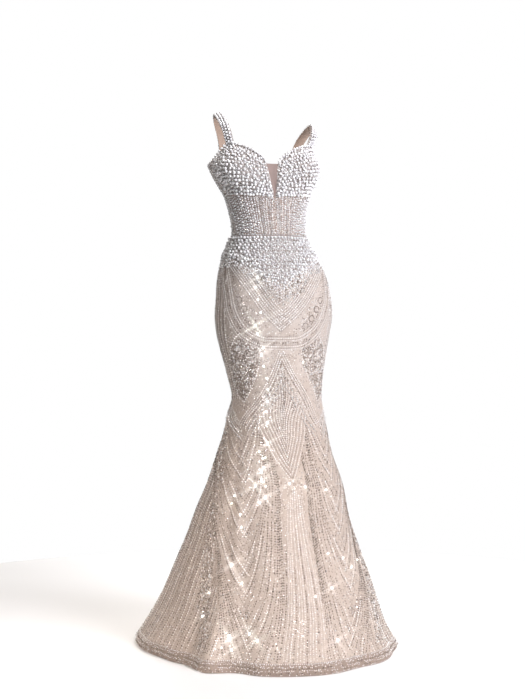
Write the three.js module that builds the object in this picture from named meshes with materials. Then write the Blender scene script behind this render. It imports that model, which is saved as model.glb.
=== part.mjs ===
// Floor-length trumpet evening gown as it is worn, with the hollow inside it left open.
// Millimetres, +Z up, the front faces -Y and the wearer's left is +X.
// Heights in this file are measured up from the hem. The exported group is lowered at the end, so
// that its origin is the midpoint between the undersides of the two shoulder straps.
import * as THREE from "three";

// Driving sizes
const SHOULDER_HEIGHT = 1520; // underside of the straps over the shoulders
const SHOULDER_TILT = 13; // the wearer's right strap stands this much higher, the left this much lower
const WAIST = 1180; // seam between bodice and skirt
const BRAID_WIDTH = 30; // stiff net braid round the hem
const CLOTH = 2; // beaded net over its lining, as one wall
const NET = 1; // single sheer net, zip tape
const SEAM_GAP = 0.3; // clear space between two neighbouring pieces
const YOKE_GAP = 0.7; // clear space between the hip yoke and the skirt under it
const CUP_PEARL = 4; // how far pearls stand out of the cups
const MIDRIFF_PEARL = 3; // how far pearls stand out of the midriff's sides
const YOKE_PEARL = 5; // how far pearls stand out of the hip yoke
const SCALLOP = 3; // pearls along the neckline stand above its edge

// Sections of the gown, from the hem up. half: half width; front, back: depths from the centre;
// shear: sideways shift for each millimetre of depth; turn: degrees that the pattern is turned by.
const SECTIONS = [
  { height: 0, x: 2.7, y: 20, half: 378.8, front: 450, back: 440, shear: -0.04, turn: -6.4 },
  { height: 60, x: 3.0, y: 16, half: 341.6, front: 408, back: 408, shear: -0.045, turn: -6 },
  { height: 120, x: 9.5, y: 12, half: 314.2, front: 363, back: 372, shear: -0.05, turn: -5.2 },
  { height: 202, x: 13.7, y: 6, half: 285.1, front: 306, back: 320, shear: -0.05, turn: -4 },
  { height: 296, x: 15.4, y: 1, half: 249.3, front: 252, back: 267, shear: -0.04, turn: -2.6 },
  { height: 378, x: 17.4, y: -3, half: 222.9, front: 212, back: 226, shear: -0.03, turn: -1.4 },
  { height: 472, x: 26.4, y: -6, half: 195.4, front: 172, back: 184, shear: -0.015, turn: 0 },
  { height: 554, x: 25.2, y: -8, half: 168.2, front: 146, back: 154, shear: 0, turn: 0 },
  { height: 618, x: 28.6, y: -8, half: 150.9, front: 131, back: 137, shear: 0, turn: 0 },
  { height: 671, x: 29.7, y: -6, half: 140.4, front: 122, back: 127, shear: 0, turn: 0 },
  { height: 718, x: 32.8, y: -4, half: 131.9, front: 117, back: 121, shear: 0, turn: 0 },
  { height: 760, x: 30.7, y: -2, half: 138.0, front: 115, back: 120, shear: 0, turn: 0 },
  { height: 808, x: 27.8, y: 2, half: 146.3, front: 116, back: 125, shear: 0, turn: 0 },
  { height: 852, x: 26.0, y: 6, half: 157.0, front: 118, back: 131, shear: 0, turn: 0 },
  { height: 896, x: 25.0, y: 8, half: 166.5, front: 119, back: 136, shear: 0, turn: 0 },
  { height: 952, x: 27.1, y: 8, half: 174.2, front: 118, back: 136, shear: 0, turn: 0 },
  { height: 999, x: 26.5, y: 6, half: 171.0, front: 115, back: 131, shear: 0, turn: 0 },
  { height: 1057, x: 22.0, y: 3, half: 163.0, front: 109, back: 120, shear: 0, turn: 0 },
  { height: 1110, x: 15.6, y: 0, half: 146.9, front: 101, back: 106, shear: 0, turn: 0 },
  { height: 1151, x: 12, y: -2, half: 124, front: 93, back: 94, shear: 0, turn: 0 },
  { height: 1186, x: 10, y: -3, half: 110, front: 87, back: 85, shear: 0, turn: 0 },
  { height: 1219, x: 8.0, y: -3, half: 109.0, front: 86, back: 82, shear: 0, turn: 0 },
  { height: 1271, x: 3.8, y: -3, half: 115.8, front: 93, back: 88, shear: 0, turn: 0 },
  { height: 1304, x: 3.4, y: -2, half: 127.4, front: 98, back: 93, shear: 0, turn: 0 },
  { height: 1340, x: -0.2, y: 0, half: 145.8, front: 102, back: 99, shear: 0, turn: 0 },
  { height: 1380, x: -4.3, y: 3, half: 159.8, front: 103, back: 104, shear: 0, turn: 0 },
  { height: 1420, x: -3.0, y: 6, half: 153.0, front: 101, back: 106, shear: 0, turn: 0 },
  { height: 1460, x: 0, y: 10, half: 150, front: 96, back: 104, shear: 0, turn: 0 },
];

// The two moulded cups
const CUP = { angle: 36, height: 1368, out: 27, spreadAngle: 24, spreadDown: 52, spreadUp: 60 };

// Soft folds of the flare. angleTop and angleHem: degrees round the gown from centre front;
// spread: half width in degrees; depth: how far in at the hem (negative stands out); top: where it starts.
const FOLDS = [
  { angleTop: -66, angleHem: -62, spread: 10, depth: 12, top: 380 },
  { angleTop: -47, angleHem: -47, spread: 5, depth: 8, top: 560 },
  { angleTop: -40, angleHem: -35, spread: 5.5, depth: -20, top: 320 },
  { angleTop: -36, angleHem: -23, spread: 6, depth: 14, top: 640 },
  { angleTop: 32, angleHem: 31, spread: 11, depth: 14, top: 520 },
  { angleTop: 60, angleHem: 63, spread: 8, depth: 8, top: 470 },
  { angleTop: 118, angleHem: 122, spread: 9, depth: 20, top: 560 },
  { angleTop: 140, angleHem: 137, spread: 7, depth: -12, top: 380 },
  { angleTop: 153, angleHem: 158, spread: 10, depth: 26, top: 600 },
  { angleTop: 180, angleHem: 184, spread: 9, depth: 13, top: 460 },
  { angleTop: -152, angleHem: -147, spread: 9, depth: 24, top: 560 },
  { angleTop: -131, angleHem: -129, spread: 7, depth: -12, top: 400 },
  { angleTop: -116, angleHem: -119, spread: 8, depth: 16, top: 520 },
];
const FOLD_GROWTH = 1.3; // power by which a fold deepens towards the hem

// Outlines over the angle from centre front, the same on both sides
const NECKLINE = [
  { angle: 5.6, height: 1384 },
  { angle: 8, height: 1396 },
  { angle: 13, height: 1410 },
  { angle: 20, height: 1422 },
  { angle: 28, height: 1433 },
  { angle: 38, height: 1441 },
  { angle: 56, height: 1440 },
  { angle: 63, height: 1422 },
  { angle: 72, height: 1406 },
  { angle: 84, height: 1394 },
  { angle: 98, height: 1387 },
  { angle: 120, height: 1383 },
  { angle: 150, height: 1375 },
  { angle: 180, height: 1352 },
];
const UNDERBUST = [
  { angle: 0, height: 1290 },
  { angle: 72, height: 1300 },
];
const YOKE_EDGE = [
  { angle: 0, height: 1046 },
  { angle: 14, height: 1064 },
  { angle: 30, height: 1092 },
  { angle: 50, height: 1112 },
  { angle: 75, height: 1122 },
  { angle: 105, height: 1122 },
  { angle: 130, height: 1112 },
  { angle: 155, height: 1084 },
  { angle: 180, height: 1056 },
];
const INSERT = { topAngle: 5.6, bottomAngle: 0.9, top: 1384, bottom: 1290, sunk: 0.5 };

// Seams, in degrees round the gown from centre front
const FRONT_SEAM = 24;
const SIDE_FRONT_SEAM = 72;
const SIDE_BACK_SEAM = 120;
const CENTRE_BACK = 180;

// Zip tape behind the centre back seam
const ZIP = { width: 24, top: 1346, bottom: 1010, behind: 0.9 };

// Shoulder straps, for the wearer's left. The first point is on the cup and the last on the back.
const STRAP = {
  width: 25,
  thickness: 4,
  rounding: 1.5,
  pearl: 4,
  frontAngle: 48.5,
  backAngle: 142,
  clearAngle: 7,
  tiltFrom: 1440,
  slope: 0.3,
  rows: 34,
  columns: 4,
};
const STRAP_ROUTE = [
  { x: 127, y: -56, height: 1476 },
  { x: 138, y: -30, height: 1508 },
  { x: 142, y: 4, height: 1520 },
  { x: 134, y: 38, height: 1508 },
  { x: 118, y: 64, height: 1474 },
  { x: 107, y: 82, height: 1430 },
];

// Mesh density. Pearls are every other point of a panel's outer face.
const CUP_COLUMNS = 20;
const CUP_ROWS = 15;
const SKIRT_ROWS = 23;
const SKIRT_CROWDING = 1.7; // rows of the skirt crowd towards the curved waist by this power
const BODICE_ROWS = 9;
const MIDRIFF_ROWS = 10;
const MIDRIFF_PEARL_COLUMNS = 8;
const YOKE_ROWS = 7;
const YOKE_COLUMN_ANGLE = 5; // degrees between columns of the hip yoke
const ZIP_ROWS = 16;
const COLUMN_ANGLE = 8; // degrees between plain columns
const STEP = 0.5; // degrees and millimetres over which slopes are measured
const BRAID_CURL = 5; // the braid turns in by this much at its lower edge

const OUTER = 0;
const INNER = 1;
const radians = THREE.MathUtils.degToRad;

// Smooth interpolation of one column of a table whose rows are in order of their key.
function along(rows, key, value, at) {
  const last = rows.length - 1;
  const place = THREE.MathUtils.clamp(at, rows[0][key], rows[last][key]);
  let i = 0;
  while (i < last - 1 && place > rows[i + 1][key]) i += 1;
  const step = (n) => rows[n + 1][key] - rows[n][key];
  const slope = (n) => (rows[n + 1][value] - rows[n][value]) / step(n);
  const tangent = (n) => {
    if (n === 0) return slope(0);
    if (n === last) return slope(last - 1);
    return (slope(n - 1) * step(n) + slope(n) * step(n - 1)) / (step(n - 1) + step(n));
  };
  const t = (place - rows[i][key]) / step(i);
  const t2 = t * t;
  const t3 = t2 * t;
  return (
    (2 * t3 - 3 * t2 + 1) * rows[i][value] +
    (t3 - 2 * t2 + t) * step(i) * tangent(i) +
    (3 * t2 - 2 * t3) * rows[i + 1][value] +
    (t3 - t2) * step(i) * tangent(i + 1)
  );
}

const section = (value, height) => along(SECTIONS, "height", value, height);
const outline = (rows, angle) => along(rows, "angle", "height", Math.abs(angle));

// Smallest turn from one angle to another, in degrees.
function turnBetween(from, to) {
  return THREE.MathUtils.euclideanModulo(to - from + 180, 360) - 180;
}

// How far the folds push the cloth in at one place of the flare.
function foldDepth(angle, height) {
  let depth = 0;
  for (const fold of FOLDS) {
    if (height >= fold.top) continue;
    const down = 1 - height / fold.top;
    const middle = THREE.MathUtils.lerp(fold.angleTop, fold.angleHem, down);
    const off = turnBetween(middle, angle) / fold.spread;
    depth += fold.depth * Math.pow(down, FOLD_GROWTH) * Math.exp(-off * off);
  }
  return depth;
}

// How far the cups stand out of the plain section.
function cupDepth(angle, height) {
  const spread = height < CUP.height ? CUP.spreadDown : CUP.spreadUp;
  const rise = (height - CUP.height) / spread;
  const side = (Math.abs(angle) - CUP.angle) / CUP.spreadAngle;
  return CUP.out * Math.exp(-side * side - rise * rise);
}

// A point of the gown's outer face.
function surface(angle, height) {
  const turned = radians(angle + section("turn", height));
  const across = Math.sin(turned);
  const towards = -Math.cos(turned);
  const depth = section(towards < 0 ? "front" : "back", height);
  const half = section("half", height);
  const out = 1 + (cupDepth(angle, height) - foldDepth(angle, height)) / Math.min(half, depth);
  const y = depth * towards * out;
  const x = half * across * out + section("shear", height) * y;
  return new THREE.Vector3(section("x", height) + x, section("y", height) + y, height);
}

// Outward normal of the outer face.
function normalAt(angle, height) {
  const round = surface(angle + STEP, height).sub(surface(angle - STEP, height));
  const up = surface(angle, height + STEP).sub(surface(angle, height - STEP));
  return round.cross(up).normalize();
}

// Degrees round the gown that make a given width at one place.
function angleFor(width, angle, height) {
  const span = surface(angle + STEP, height).distanceTo(surface(angle - STEP, height));
  return (width * 2 * STEP) / span;
}

function indexedGeometry(positions, index) {
  const geometry = new THREE.BufferGeometry();
  geometry.setAttribute("position", new THREE.Float32BufferAttribute(positions, 3));
  geometry.setIndex(index);
  geometry.computeVertexNormals();
  return geometry;
}

// A closed wall between an outer and an inner grid of points, both of (columns + 1) by (rows + 1).
function wallGeometry(columns, rows, outerPoint, innerPoint) {
  const positions = [];
  const index = [];
  const perSide = (columns + 1) * (rows + 1);
  for (const point of [outerPoint, innerPoint])
    for (let j = 0; j <= rows; j += 1)
      for (let i = 0; i <= columns; i += 1) positions.push(...point(i, j).toArray());
  const at = (side, i, j) => side * perSide + j * (columns + 1) + i;
  const quad = (a, b, c, d) => index.push(a, b, c, a, c, d);
  for (let j = 0; j < rows; j += 1)
    for (let i = 0; i < columns; i += 1) {
      const corners = (side) => [at(side, i, j), at(side, i + 1, j), at(side, i + 1, j + 1), at(side, i, j + 1)];
      const outer = corners(OUTER);
      const inner = corners(INNER).reverse();
      // The diagonal joins the low points, so that each raised point is the top of a small pyramid.
      if ((i + j) % 2 === 0) outer.push(outer.shift());
      quad(...outer);
      quad(...inner);
    }
  for (let i = 0; i < columns; i += 1) {
    quad(at(OUTER, i + 1, 0), at(OUTER, i, 0), at(INNER, i, 0), at(INNER, i + 1, 0));
    quad(at(OUTER, i, rows), at(OUTER, i + 1, rows), at(INNER, i + 1, rows), at(INNER, i, rows));
  }
  for (let j = 0; j < rows; j += 1) {
    quad(at(OUTER, 0, j), at(OUTER, 0, j + 1), at(INNER, 0, j + 1), at(INNER, 0, j));
    quad(at(OUTER, columns, j + 1), at(OUTER, columns, j), at(INNER, columns, j), at(INNER, columns, j + 1));
  }
  return indexedGeometry(positions, index);
}

const isPearl = (i, j) => (i + j) % 2 === 0;
const underStrap = (angle) => Math.abs(Math.abs(angle) - STRAP.frontAngle) < STRAP.clearAngle;

// What a panel has unless it is told otherwise
const PLAIN_PANEL = { thickness: CLOTH, offset: 0, pearl: 0, scallop: 0, crowding: 1 };

// A panel of cloth on the gown's form. left and right are its seams, as angles for a share of its
// height; bottom and top are its outlines, as heights for an angle; offset moves it out of the form;
// pearl raises every other point; scallop lifts the pearls of the top edge; crowding gathers its rows.
function panel(options) {
  const { columns, rows, left, right, bottom, top, thickness, offset, pearl, scallop, crowding } = {
    ...PLAIN_PANEL,
    ...options,
  };
  const half = SEAM_GAP / 2;
  const place = (i, j) => {
    const rise = 1 - Math.pow(1 - j / rows, crowding);
    const roughAngle = THREE.MathUtils.lerp(left(rise), right(rise), i / columns);
    const roughHeight = THREE.MathUtils.lerp(bottom(roughAngle), top(roughAngle), rise);
    const inset = angleFor(half, roughAngle, roughHeight);
    const angle = THREE.MathUtils.lerp(left(rise) + inset, right(rise) - inset, i / columns);
    const lift = j === rows && isPearl(i, j) && !underStrap(angle) ? scallop : 0;
    const height = THREE.MathUtils.lerp(bottom(angle) + half, top(angle) - half + lift, rise);
    return [angle, height];
  };
  const shifted = (i, j, distance) => {
    const [angle, height] = place(i, j);
    return surface(angle, height).addScaledVector(normalAt(angle, height), distance);
  };
  const raised = (i, j) => offset + (isPearl(i, j) ? pearl : 0);
  return wallGeometry(
    columns,
    rows,
    (i, j) => shifted(i, j, raised(i, j)),
    (i, j) => shifted(i, j, offset - thickness),
  );
}

const fixed = (value) => () => value;
const neckline = (angle) => outline(NECKLINE, angle);
const underbust = (angle) => outline(UNDERBUST, angle);
const yokeEdge = (angle) => outline(YOKE_EDGE, angle);
const columnsFor = (from, to) => Math.max(2, Math.round((to - from) / COLUMN_ANGLE));

// Edge of the sheer insert, in degrees from centre front, at a share of its height.
const insertEdge = (rise) => THREE.MathUtils.lerp(INSERT.bottomAngle, INSERT.topAngle, rise);

// Each side is built once: side is 1 for the wearer's left and -1 for the right.
function sided(side, from, to, options) {
  const spans = side > 0 ? { left: from, right: to } : { left: (rise) => -to(rise), right: (rise) => -from(rise) };
  return panel({ ...options, ...spans });
}

function cup(side) {
  return sided(side, insertEdge, fixed(SIDE_FRONT_SEAM), {
    columns: CUP_COLUMNS,
    rows: CUP_ROWS,
    bottom: underbust,
    top: neckline,
    pearl: CUP_PEARL,
    scallop: SCALLOP,
  });
}

function centreInsert() {
  return panel({
    columns: 2,
    rows: CUP_ROWS,
    left: (rise) => -insertEdge(rise),
    right: insertEdge,
    bottom: fixed(INSERT.bottom),
    top: fixed(INSERT.top),
    thickness: NET,
    offset: -INSERT.sunk,
  });
}

function midriff(from, to, pearls = {}) {
  return panel({
    columns: columnsFor(from, to),
    rows: MIDRIFF_ROWS,
    ...pearls,
    left: fixed(from),
    right: fixed(to),
    bottom: fixed(WAIST),
    top: underbust,
  });
}

const pearledMidriff = (from, to) => midriff(from, to, { columns: MIDRIFF_PEARL_COLUMNS, pearl: MIDRIFF_PEARL });

function bodicePanel(side, from, to) {
  return sided(side, fixed(from), fixed(to), {
    columns: columnsFor(from, to),
    rows: BODICE_ROWS,
    bottom: fixed(WAIST),
    top: neckline,
  });
}

const skirtColumns = (from, to) => columnsFor(from, to) + 1;

function skirtPanel(from, to) {
  return panel({
    columns: skirtColumns(from, to),
    rows: SKIRT_ROWS,
    left: fixed(from),
    right: fixed(to),
    bottom: fixed(BRAID_WIDTH),
    top: fixed(WAIST),
    crowding: SKIRT_CROWDING,
  });
}

function yokePanel(from, to) {
  return panel({
    columns: 2 * Math.round((to - from) / YOKE_COLUMN_ANGLE / 2),
    rows: YOKE_ROWS,
    left: fixed(from),
    right: fixed(to),
    bottom: yokeEdge,
    top: fixed(WAIST - 1),
    thickness: CLOTH,
    offset: CLOTH + YOKE_GAP,
    pearl: YOKE_PEARL,
  });
}

// Angles of the braid's columns, which meet those of the skirt panels above it.
function braidAngles() {
  const seams = [-FRONT_SEAM, FRONT_SEAM, SIDE_FRONT_SEAM, SIDE_BACK_SEAM, CENTRE_BACK];
  const mirrored = [SIDE_FRONT_SEAM, SIDE_BACK_SEAM, CENTRE_BACK].map((seam) => 2 * CENTRE_BACK - seam);
  const round = [...seams, ...mirrored.toReversed().slice(1), 2 * CENTRE_BACK - FRONT_SEAM];
  const angles = [];
  for (let n = 0; n < round.length - 1; n += 1) {
    const columns = skirtColumns(round[n], round[n + 1]);
    for (let i = 0; i < columns; i += 1) angles.push(THREE.MathUtils.lerp(round[n], round[n + 1], i / columns));
  }
  return angles;
}

// The braid goes all round, so its wall closes on itself.
function hemBraid() {
  const rings = [
    { height: BRAID_WIDTH - SEAM_GAP / 2, curl: 0 },
    { height: BRAID_WIDTH / 2, curl: 0 },
    { height: 0, curl: BRAID_CURL },
  ];
  const outer = rings.map((ring) => ({ ...ring, depth: 0 }));
  const inner = rings.toReversed().map((ring) => ({ ...ring, depth: CLOTH }));
  const profile = [...outer, ...inner];
  const angles = braidAngles();
  const positions = [];
  const index = [];
  for (const angle of angles)
    for (const { height, curl, depth } of profile) {
      const normal = normalAt(angle, height);
      const level = normal.clone().setZ(0).normalize();
      const point = surface(angle, height).addScaledVector(level, -curl).addScaledVector(normal, -depth);
      positions.push(...point.toArray());
    }
  const size = profile.length;
  for (let i = 0; i < angles.length; i += 1)
    for (let j = 0; j < size; j += 1) {
      const next = (i + 1) % angles.length;
      const k = (j + 1) % size;
      index.push(i * size + j, i * size + k, next * size + k, i * size + j, next * size + k, next * size + j);
    }
  return indexedGeometry(positions, index);
}

// Zip tape: a flat strip behind the centre back seam, clear of both back panels.
function zipTape() {
  const columns = 2;
  const point = (i, j, depth) => {
    const height = THREE.MathUtils.lerp(ZIP.bottom, ZIP.top, j / ZIP_ROWS);
    const angle = CENTRE_BACK + angleFor(ZIP.width, CENTRE_BACK, height) * (i / columns - 0.5);
    return surface(angle, height).addScaledVector(normalAt(angle, height), -CLOTH - ZIP.behind - depth);
  };
  return wallGeometry(
    columns,
    ZIP_ROWS,
    (i, j) => point(i, j, 0),
    (i, j) => point(i, j, NET),
  );
}

// A strap: a padded band along a smooth route over the shoulder, with pearls raised on its outer face.
// Its two ends follow the edges of the cup and of the back.
function strap(side) {
  const ends = [
    { angle: side * STRAP.frontAngle, turn: 1 },
    { angle: side * STRAP.backAngle, turn: -1 },
  ];
  const edges = ends.map(({ angle, turn }) => {
    const place = (share) => angle + share * turn * angleFor(STRAP.width, angle, neckline(angle));
    const seat = (share) => {
      const at = place(share);
      return surface(at, neckline(at) + SEAM_GAP);
    };
    const outward = (share) => normalAt(place(share), neckline(place(share)));
    return { seat, outward };
  });
  const middle = STRAP_ROUTE.map(({ x, y, height }) => {
    const share = THREE.MathUtils.inverseLerp(STRAP.tiltFrom, SHOULDER_HEIGHT, height);
    return new THREE.Vector3(side * x, y, height - side * SHOULDER_TILT * Math.max(share, 0));
  });
  const [first, last] = edges.map(({ seat, outward }) => seat(0).addScaledVector(outward(0), -CLOTH));
  const route = new THREE.CatmullRomCurve3([first, ...middle, last], false, "centripetal");
  const acrossAt = edges.map(({ seat }) => seat(0.5).sub(seat(-0.5)).normalize());
  const point = (i, j, distance) => {
    const share = i / STRAP.columns - 0.5;
    const depth = distance === 0 ? 0 : distance - STRAP.rounding * 4 * share * share;
    if (j === 0 || j === STRAP.rows) {
      const { seat, outward } = edges[j === 0 ? 0 : 1];
      return seat(share).addScaledVector(outward(share), depth - CLOTH);
    }
    const t = j / STRAP.rows;
    const tangent = route.getTangentAt(t);
    const across = acrossAt[0].clone().lerp(acrossAt[1], t);
    across.z -= side * STRAP.slope * Math.sin(Math.PI * t);
    across.addScaledVector(tangent, -across.dot(tangent)).normalize();
    const out = across.clone().cross(tangent).normalize();
    return route.getPointAt(t).addScaledVector(across, share * STRAP.width).addScaledVector(out, depth);
  };
  return wallGeometry(
    STRAP.columns,
    STRAP.rows,
    (i, j) => point(i, j, STRAP.thickness + (isPearl(i, j) ? STRAP.pearl : 0)),
    (i, j) => point(i, j, 0),
  );
}

// Finishes
const pearlWork = new THREE.MeshStandardMaterial({ color: "#e9e2de", roughness: 0.28, metalness: 0.05 });
const beadedNet = new THREE.MeshStandardMaterial({ color: "#cdbbb0", roughness: 0.5, metalness: 0.1 });
const sheerNet = new THREE.MeshStandardMaterial({ color: "#aa9187", roughness: 0.8, metalness: 0 });
const braidNet = new THREE.MeshStandardMaterial({ color: "#8c7a70", roughness: 0.7, metalness: 0 });
const zipCloth = new THREE.MeshStandardMaterial({ color: "#b9a598", roughness: 0.75, metalness: 0 });

const gown = new THREE.Group();
gown.name = "evening_gown";
gown.position.z = -SHOULDER_HEIGHT;

function add(name, geometry, material) {
  const mesh = new THREE.Mesh(geometry, material);
  mesh.name = name;
  gown.add(mesh);
}

add("centre_insert", centreInsert(), sheerNet);
add("midriff_front", midriff(-FRONT_SEAM, FRONT_SEAM), beadedNet);
add("skirt_front", skirtPanel(-FRONT_SEAM, FRONT_SEAM), beadedNet);
add("yoke_front", yokePanel(-FRONT_SEAM, FRONT_SEAM), pearlWork);
add("back_zip", zipTape(), zipCloth);
add("hem_braid", hemBraid(), braidNet);
for (const [word, side] of [
  ["left", 1],
  ["right", -1],
]) {
  const between = (make, from, to) => (side > 0 ? make(from, to) : make(-to, -from));
  add(`cup_${word}`, cup(side), pearlWork);
  add(`strap_${word}`, strap(side), pearlWork);
  add(`midriff_side_${word}`, between(pearledMidriff, FRONT_SEAM, SIDE_FRONT_SEAM), pearlWork);
  add(`bodice_side_${word}`, bodicePanel(side, SIDE_FRONT_SEAM, SIDE_BACK_SEAM), beadedNet);
  add(`bodice_back_${word}`, bodicePanel(side, SIDE_BACK_SEAM, CENTRE_BACK), beadedNet);
  add(`skirt_side_front_${word}`, between(skirtPanel, FRONT_SEAM, SIDE_FRONT_SEAM), beadedNet);
  add(`skirt_side_back_${word}`, between(skirtPanel, SIDE_FRONT_SEAM, SIDE_BACK_SEAM), beadedNet);
  add(`skirt_back_${word}`, between(skirtPanel, SIDE_BACK_SEAM, CENTRE_BACK), beadedNet);
  add(`yoke_side_front_${word}`, between(yokePanel, FRONT_SEAM, SIDE_FRONT_SEAM), pearlWork);
  add(`yoke_side_back_${word}`, between(yokePanel, SIDE_FRONT_SEAM, SIDE_BACK_SEAM), pearlWork);
  add(`yoke_back_${word}`, between(yokePanel, SIDE_BACK_SEAM, CENTRE_BACK), pearlWork);
}

export default gown;
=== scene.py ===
"""Looks of a floor-length beaded trumpet gown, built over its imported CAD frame.

The form is worked out in millimetres from the same tables as the CAD. Heights are measured up from
the hem, and angles in degrees round the gown from centre front towards the wearer's left (+X).
Finished meshes are in metres in the row frame, whose origin lies between the shoulder straps.
"""

import logging
import math
from dataclasses import dataclass, field
from enum import Enum
from typing import Any, Callable, Sequence

import bpy
import numpy as np
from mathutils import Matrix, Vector


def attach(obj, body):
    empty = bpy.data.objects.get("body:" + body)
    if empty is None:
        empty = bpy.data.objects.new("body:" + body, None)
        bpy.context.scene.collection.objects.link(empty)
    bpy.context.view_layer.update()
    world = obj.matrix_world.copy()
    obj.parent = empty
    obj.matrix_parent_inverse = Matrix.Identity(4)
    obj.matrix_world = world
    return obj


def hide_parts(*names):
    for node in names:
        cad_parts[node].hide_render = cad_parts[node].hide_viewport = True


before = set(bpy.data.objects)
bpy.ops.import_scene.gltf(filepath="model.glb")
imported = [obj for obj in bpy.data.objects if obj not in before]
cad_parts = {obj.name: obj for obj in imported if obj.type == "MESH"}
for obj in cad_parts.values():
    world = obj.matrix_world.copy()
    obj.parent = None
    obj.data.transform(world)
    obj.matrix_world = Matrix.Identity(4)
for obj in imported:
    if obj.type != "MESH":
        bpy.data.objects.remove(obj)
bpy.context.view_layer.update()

log = logging.getLogger("gown")
Floats = np.ndarray
Outline = Callable[[Floats], Floats]

MM = 0.001
SHOULDER_HEIGHT = 1520.0
SHOULDER_TILT = 13.0
WAIST = 1180.0
BRAID_WIDTH = 30.0
CLOTH = 2.0
NET = 1.0
SEAM_GAP = 0.3
SEWN_GAP = 0.12
YOKE_GAP = 0.7
FRONT_SEAM = 24.0
SIDE_FRONT_SEAM = 72.0
SIDE_BACK_SEAM = 120.0
CENTRE_BACK = 180.0

# Height, centre x and y, half width, front and back depth, sideways shear, turn in degrees
SECTIONS = (
    (0, 2.7, 20, 378.8, 450, 440, -0.04, -6.4),
    (60, 3.0, 16, 341.6, 408, 408, -0.045, -6),
    (120, 9.5, 12, 314.2, 363, 372, -0.05, -5.2),
    (202, 13.7, 6, 285.1, 306, 320, -0.05, -4),
    (296, 15.4, 1, 249.3, 252, 267, -0.04, -2.6),
    (378, 17.4, -3, 222.9, 212, 226, -0.03, -1.4),
    (472, 26.4, -6, 195.4, 172, 184, -0.015, 0),
    (554, 25.2, -8, 168.2, 146, 154, 0, 0),
    (618, 28.6, -8, 150.9, 131, 137, 0, 0),
    (671, 29.7, -6, 140.4, 122, 127, 0, 0),
    (718, 32.8, -4, 131.9, 117, 121, 0, 0),
    (760, 30.7, -2, 138.0, 115, 120, 0, 0),
    (808, 27.8, 2, 146.3, 116, 125, 0, 0),
    (852, 26.0, 6, 157.0, 118, 131, 0, 0),
    (896, 25.0, 8, 166.5, 119, 136, 0, 0),
    (952, 27.1, 8, 174.2, 118, 136, 0, 0),
    (999, 26.5, 6, 171.0, 115, 131, 0, 0),
    (1057, 22.0, 3, 163.0, 109, 120, 0, 0),
    (1110, 15.6, 0, 146.9, 101, 106, 0, 0),
    (1151, 12, -2, 124, 93, 94, 0, 0),
    (1186, 10, -3, 110, 87, 85, 0, 0),
    (1219, 8.0, -3, 109.0, 86, 82, 0, 0),
    (1271, 3.8, -3, 115.8, 93, 88, 0, 0),
    (1304, 3.4, -2, 127.4, 98, 93, 0, 0),
    (1340, -0.2, 0, 145.8, 102, 99, 0, 0),
    (1380, -4.3, 3, 159.8, 103, 104, 0, 0),
    (1420, -3.0, 6, 153.0, 101, 106, 0, 0),
    (1460, 0, 10, 150, 96, 104, 0, 0),
)
# Angle at the top and at the hem, half width in degrees, depth at the hem, height where it starts
FOLDS = (
    (-66, -62, 10, 12, 380),
    (-49, -48, 6, 13, 600),
    (-40, -35, 5.5, -20, 320),
    (-36, -23, 6, 14, 640),
    (32, 31, 11, 14, 520),
    (60, 63, 8, 8, 470),
    (118, 122, 9, 20, 560),
    (140, 137, 7, -12, 380),
    (153, 158, 10, 26, 600),
    (180, 184, 9, 13, 460),
    (-152, -147, 9, 24, 560),
    (-131, -129, 7, -12, 400),
    (-116, -119, 8, 16, 520),
)
FOLD_GROWTH = 1.3
# Creases, listed one by one: angle and height of both ends, half width and depth in mm (negative stands out)
CREASES = (
    (12, 430, 20, 36, 15, 4.0),
    (-8, 350, -5, 36, 13, 2.6),
    (4, 300, 7, 36, 12, -2.2),
    (45, 380, 47, 36, 15, 3.0),
    (-55, 300, -54, 36, 10, 2.4),
    (78, 420, 82, 36, 16, 4.0),
    (-80, 430, -84, 36, 15, 4.0),
    (-54, 620, -30, 36, 15, 9.0),
    (-74, 480, -46, 36, 13, 4.5),
    (46, 480, 38, 36, 12, 4.0),
    (100, 380, 101, 36, 15, 3.4),
    (-100, 400, -101, 36, 16, 3.6),
    (168, 420, 170, 36, 14, 3.0),
    (-167, 380, -168, 36, 14, 3.2),
    (-62, 742, -20, 722, 8, 1.0),
    (60, 736, 26, 716, 7, 0.9),
    (-66, 706, -34, 690, 7, 0.8),
    (68, 700, 40, 684, 6, 0.8),
    (110, 745, 160, 726, 9, 1.2),
    (-112, 740, -158, 720, 9, 1.2),
    (120, 712, 150, 704, 7, 0.9),
    (30, 1204, 66, 1216, 7, 0.9),
    (-28, 1202, -62, 1214, 7, 0.9),
    (36, 1232, 70, 1246, 6, 0.7),
    (-34, 1228, -66, 1242, 6, 0.7),
    (96, 1206, 140, 1196, 7, 1.0),
    (-98, 1208, -142, 1198, 7, 1.0),
    (128, 1226, 168, 1216, 6, 0.8),
    (-126, 1230, -166, 1218, 6, 0.8),
)
NECKLINE = (
    (5.6, 1384), (8, 1396), (13, 1410), (20, 1422), (28, 1433), (38, 1441), (56, 1440),
    (63, 1422), (72, 1406), (84, 1394), (98, 1387), (120, 1383), (150, 1375), (180, 1352),
)
UNDERBUST = ((0, 1290), (72, 1300))
YOKE_EDGE = (
    (0, 1046), (14, 1064), (30, 1092), (50, 1112), (75, 1122), (105, 1122), (130, 1112),
    (155, 1084), (180, 1056),
)
STRAP_ROUTE = (
    (127, -56, 1476), (138, -30, 1508), (142, 4, 1520), (134, 38, 1508), (118, 64, 1474),
    (107, 82, 1430),
)


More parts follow.
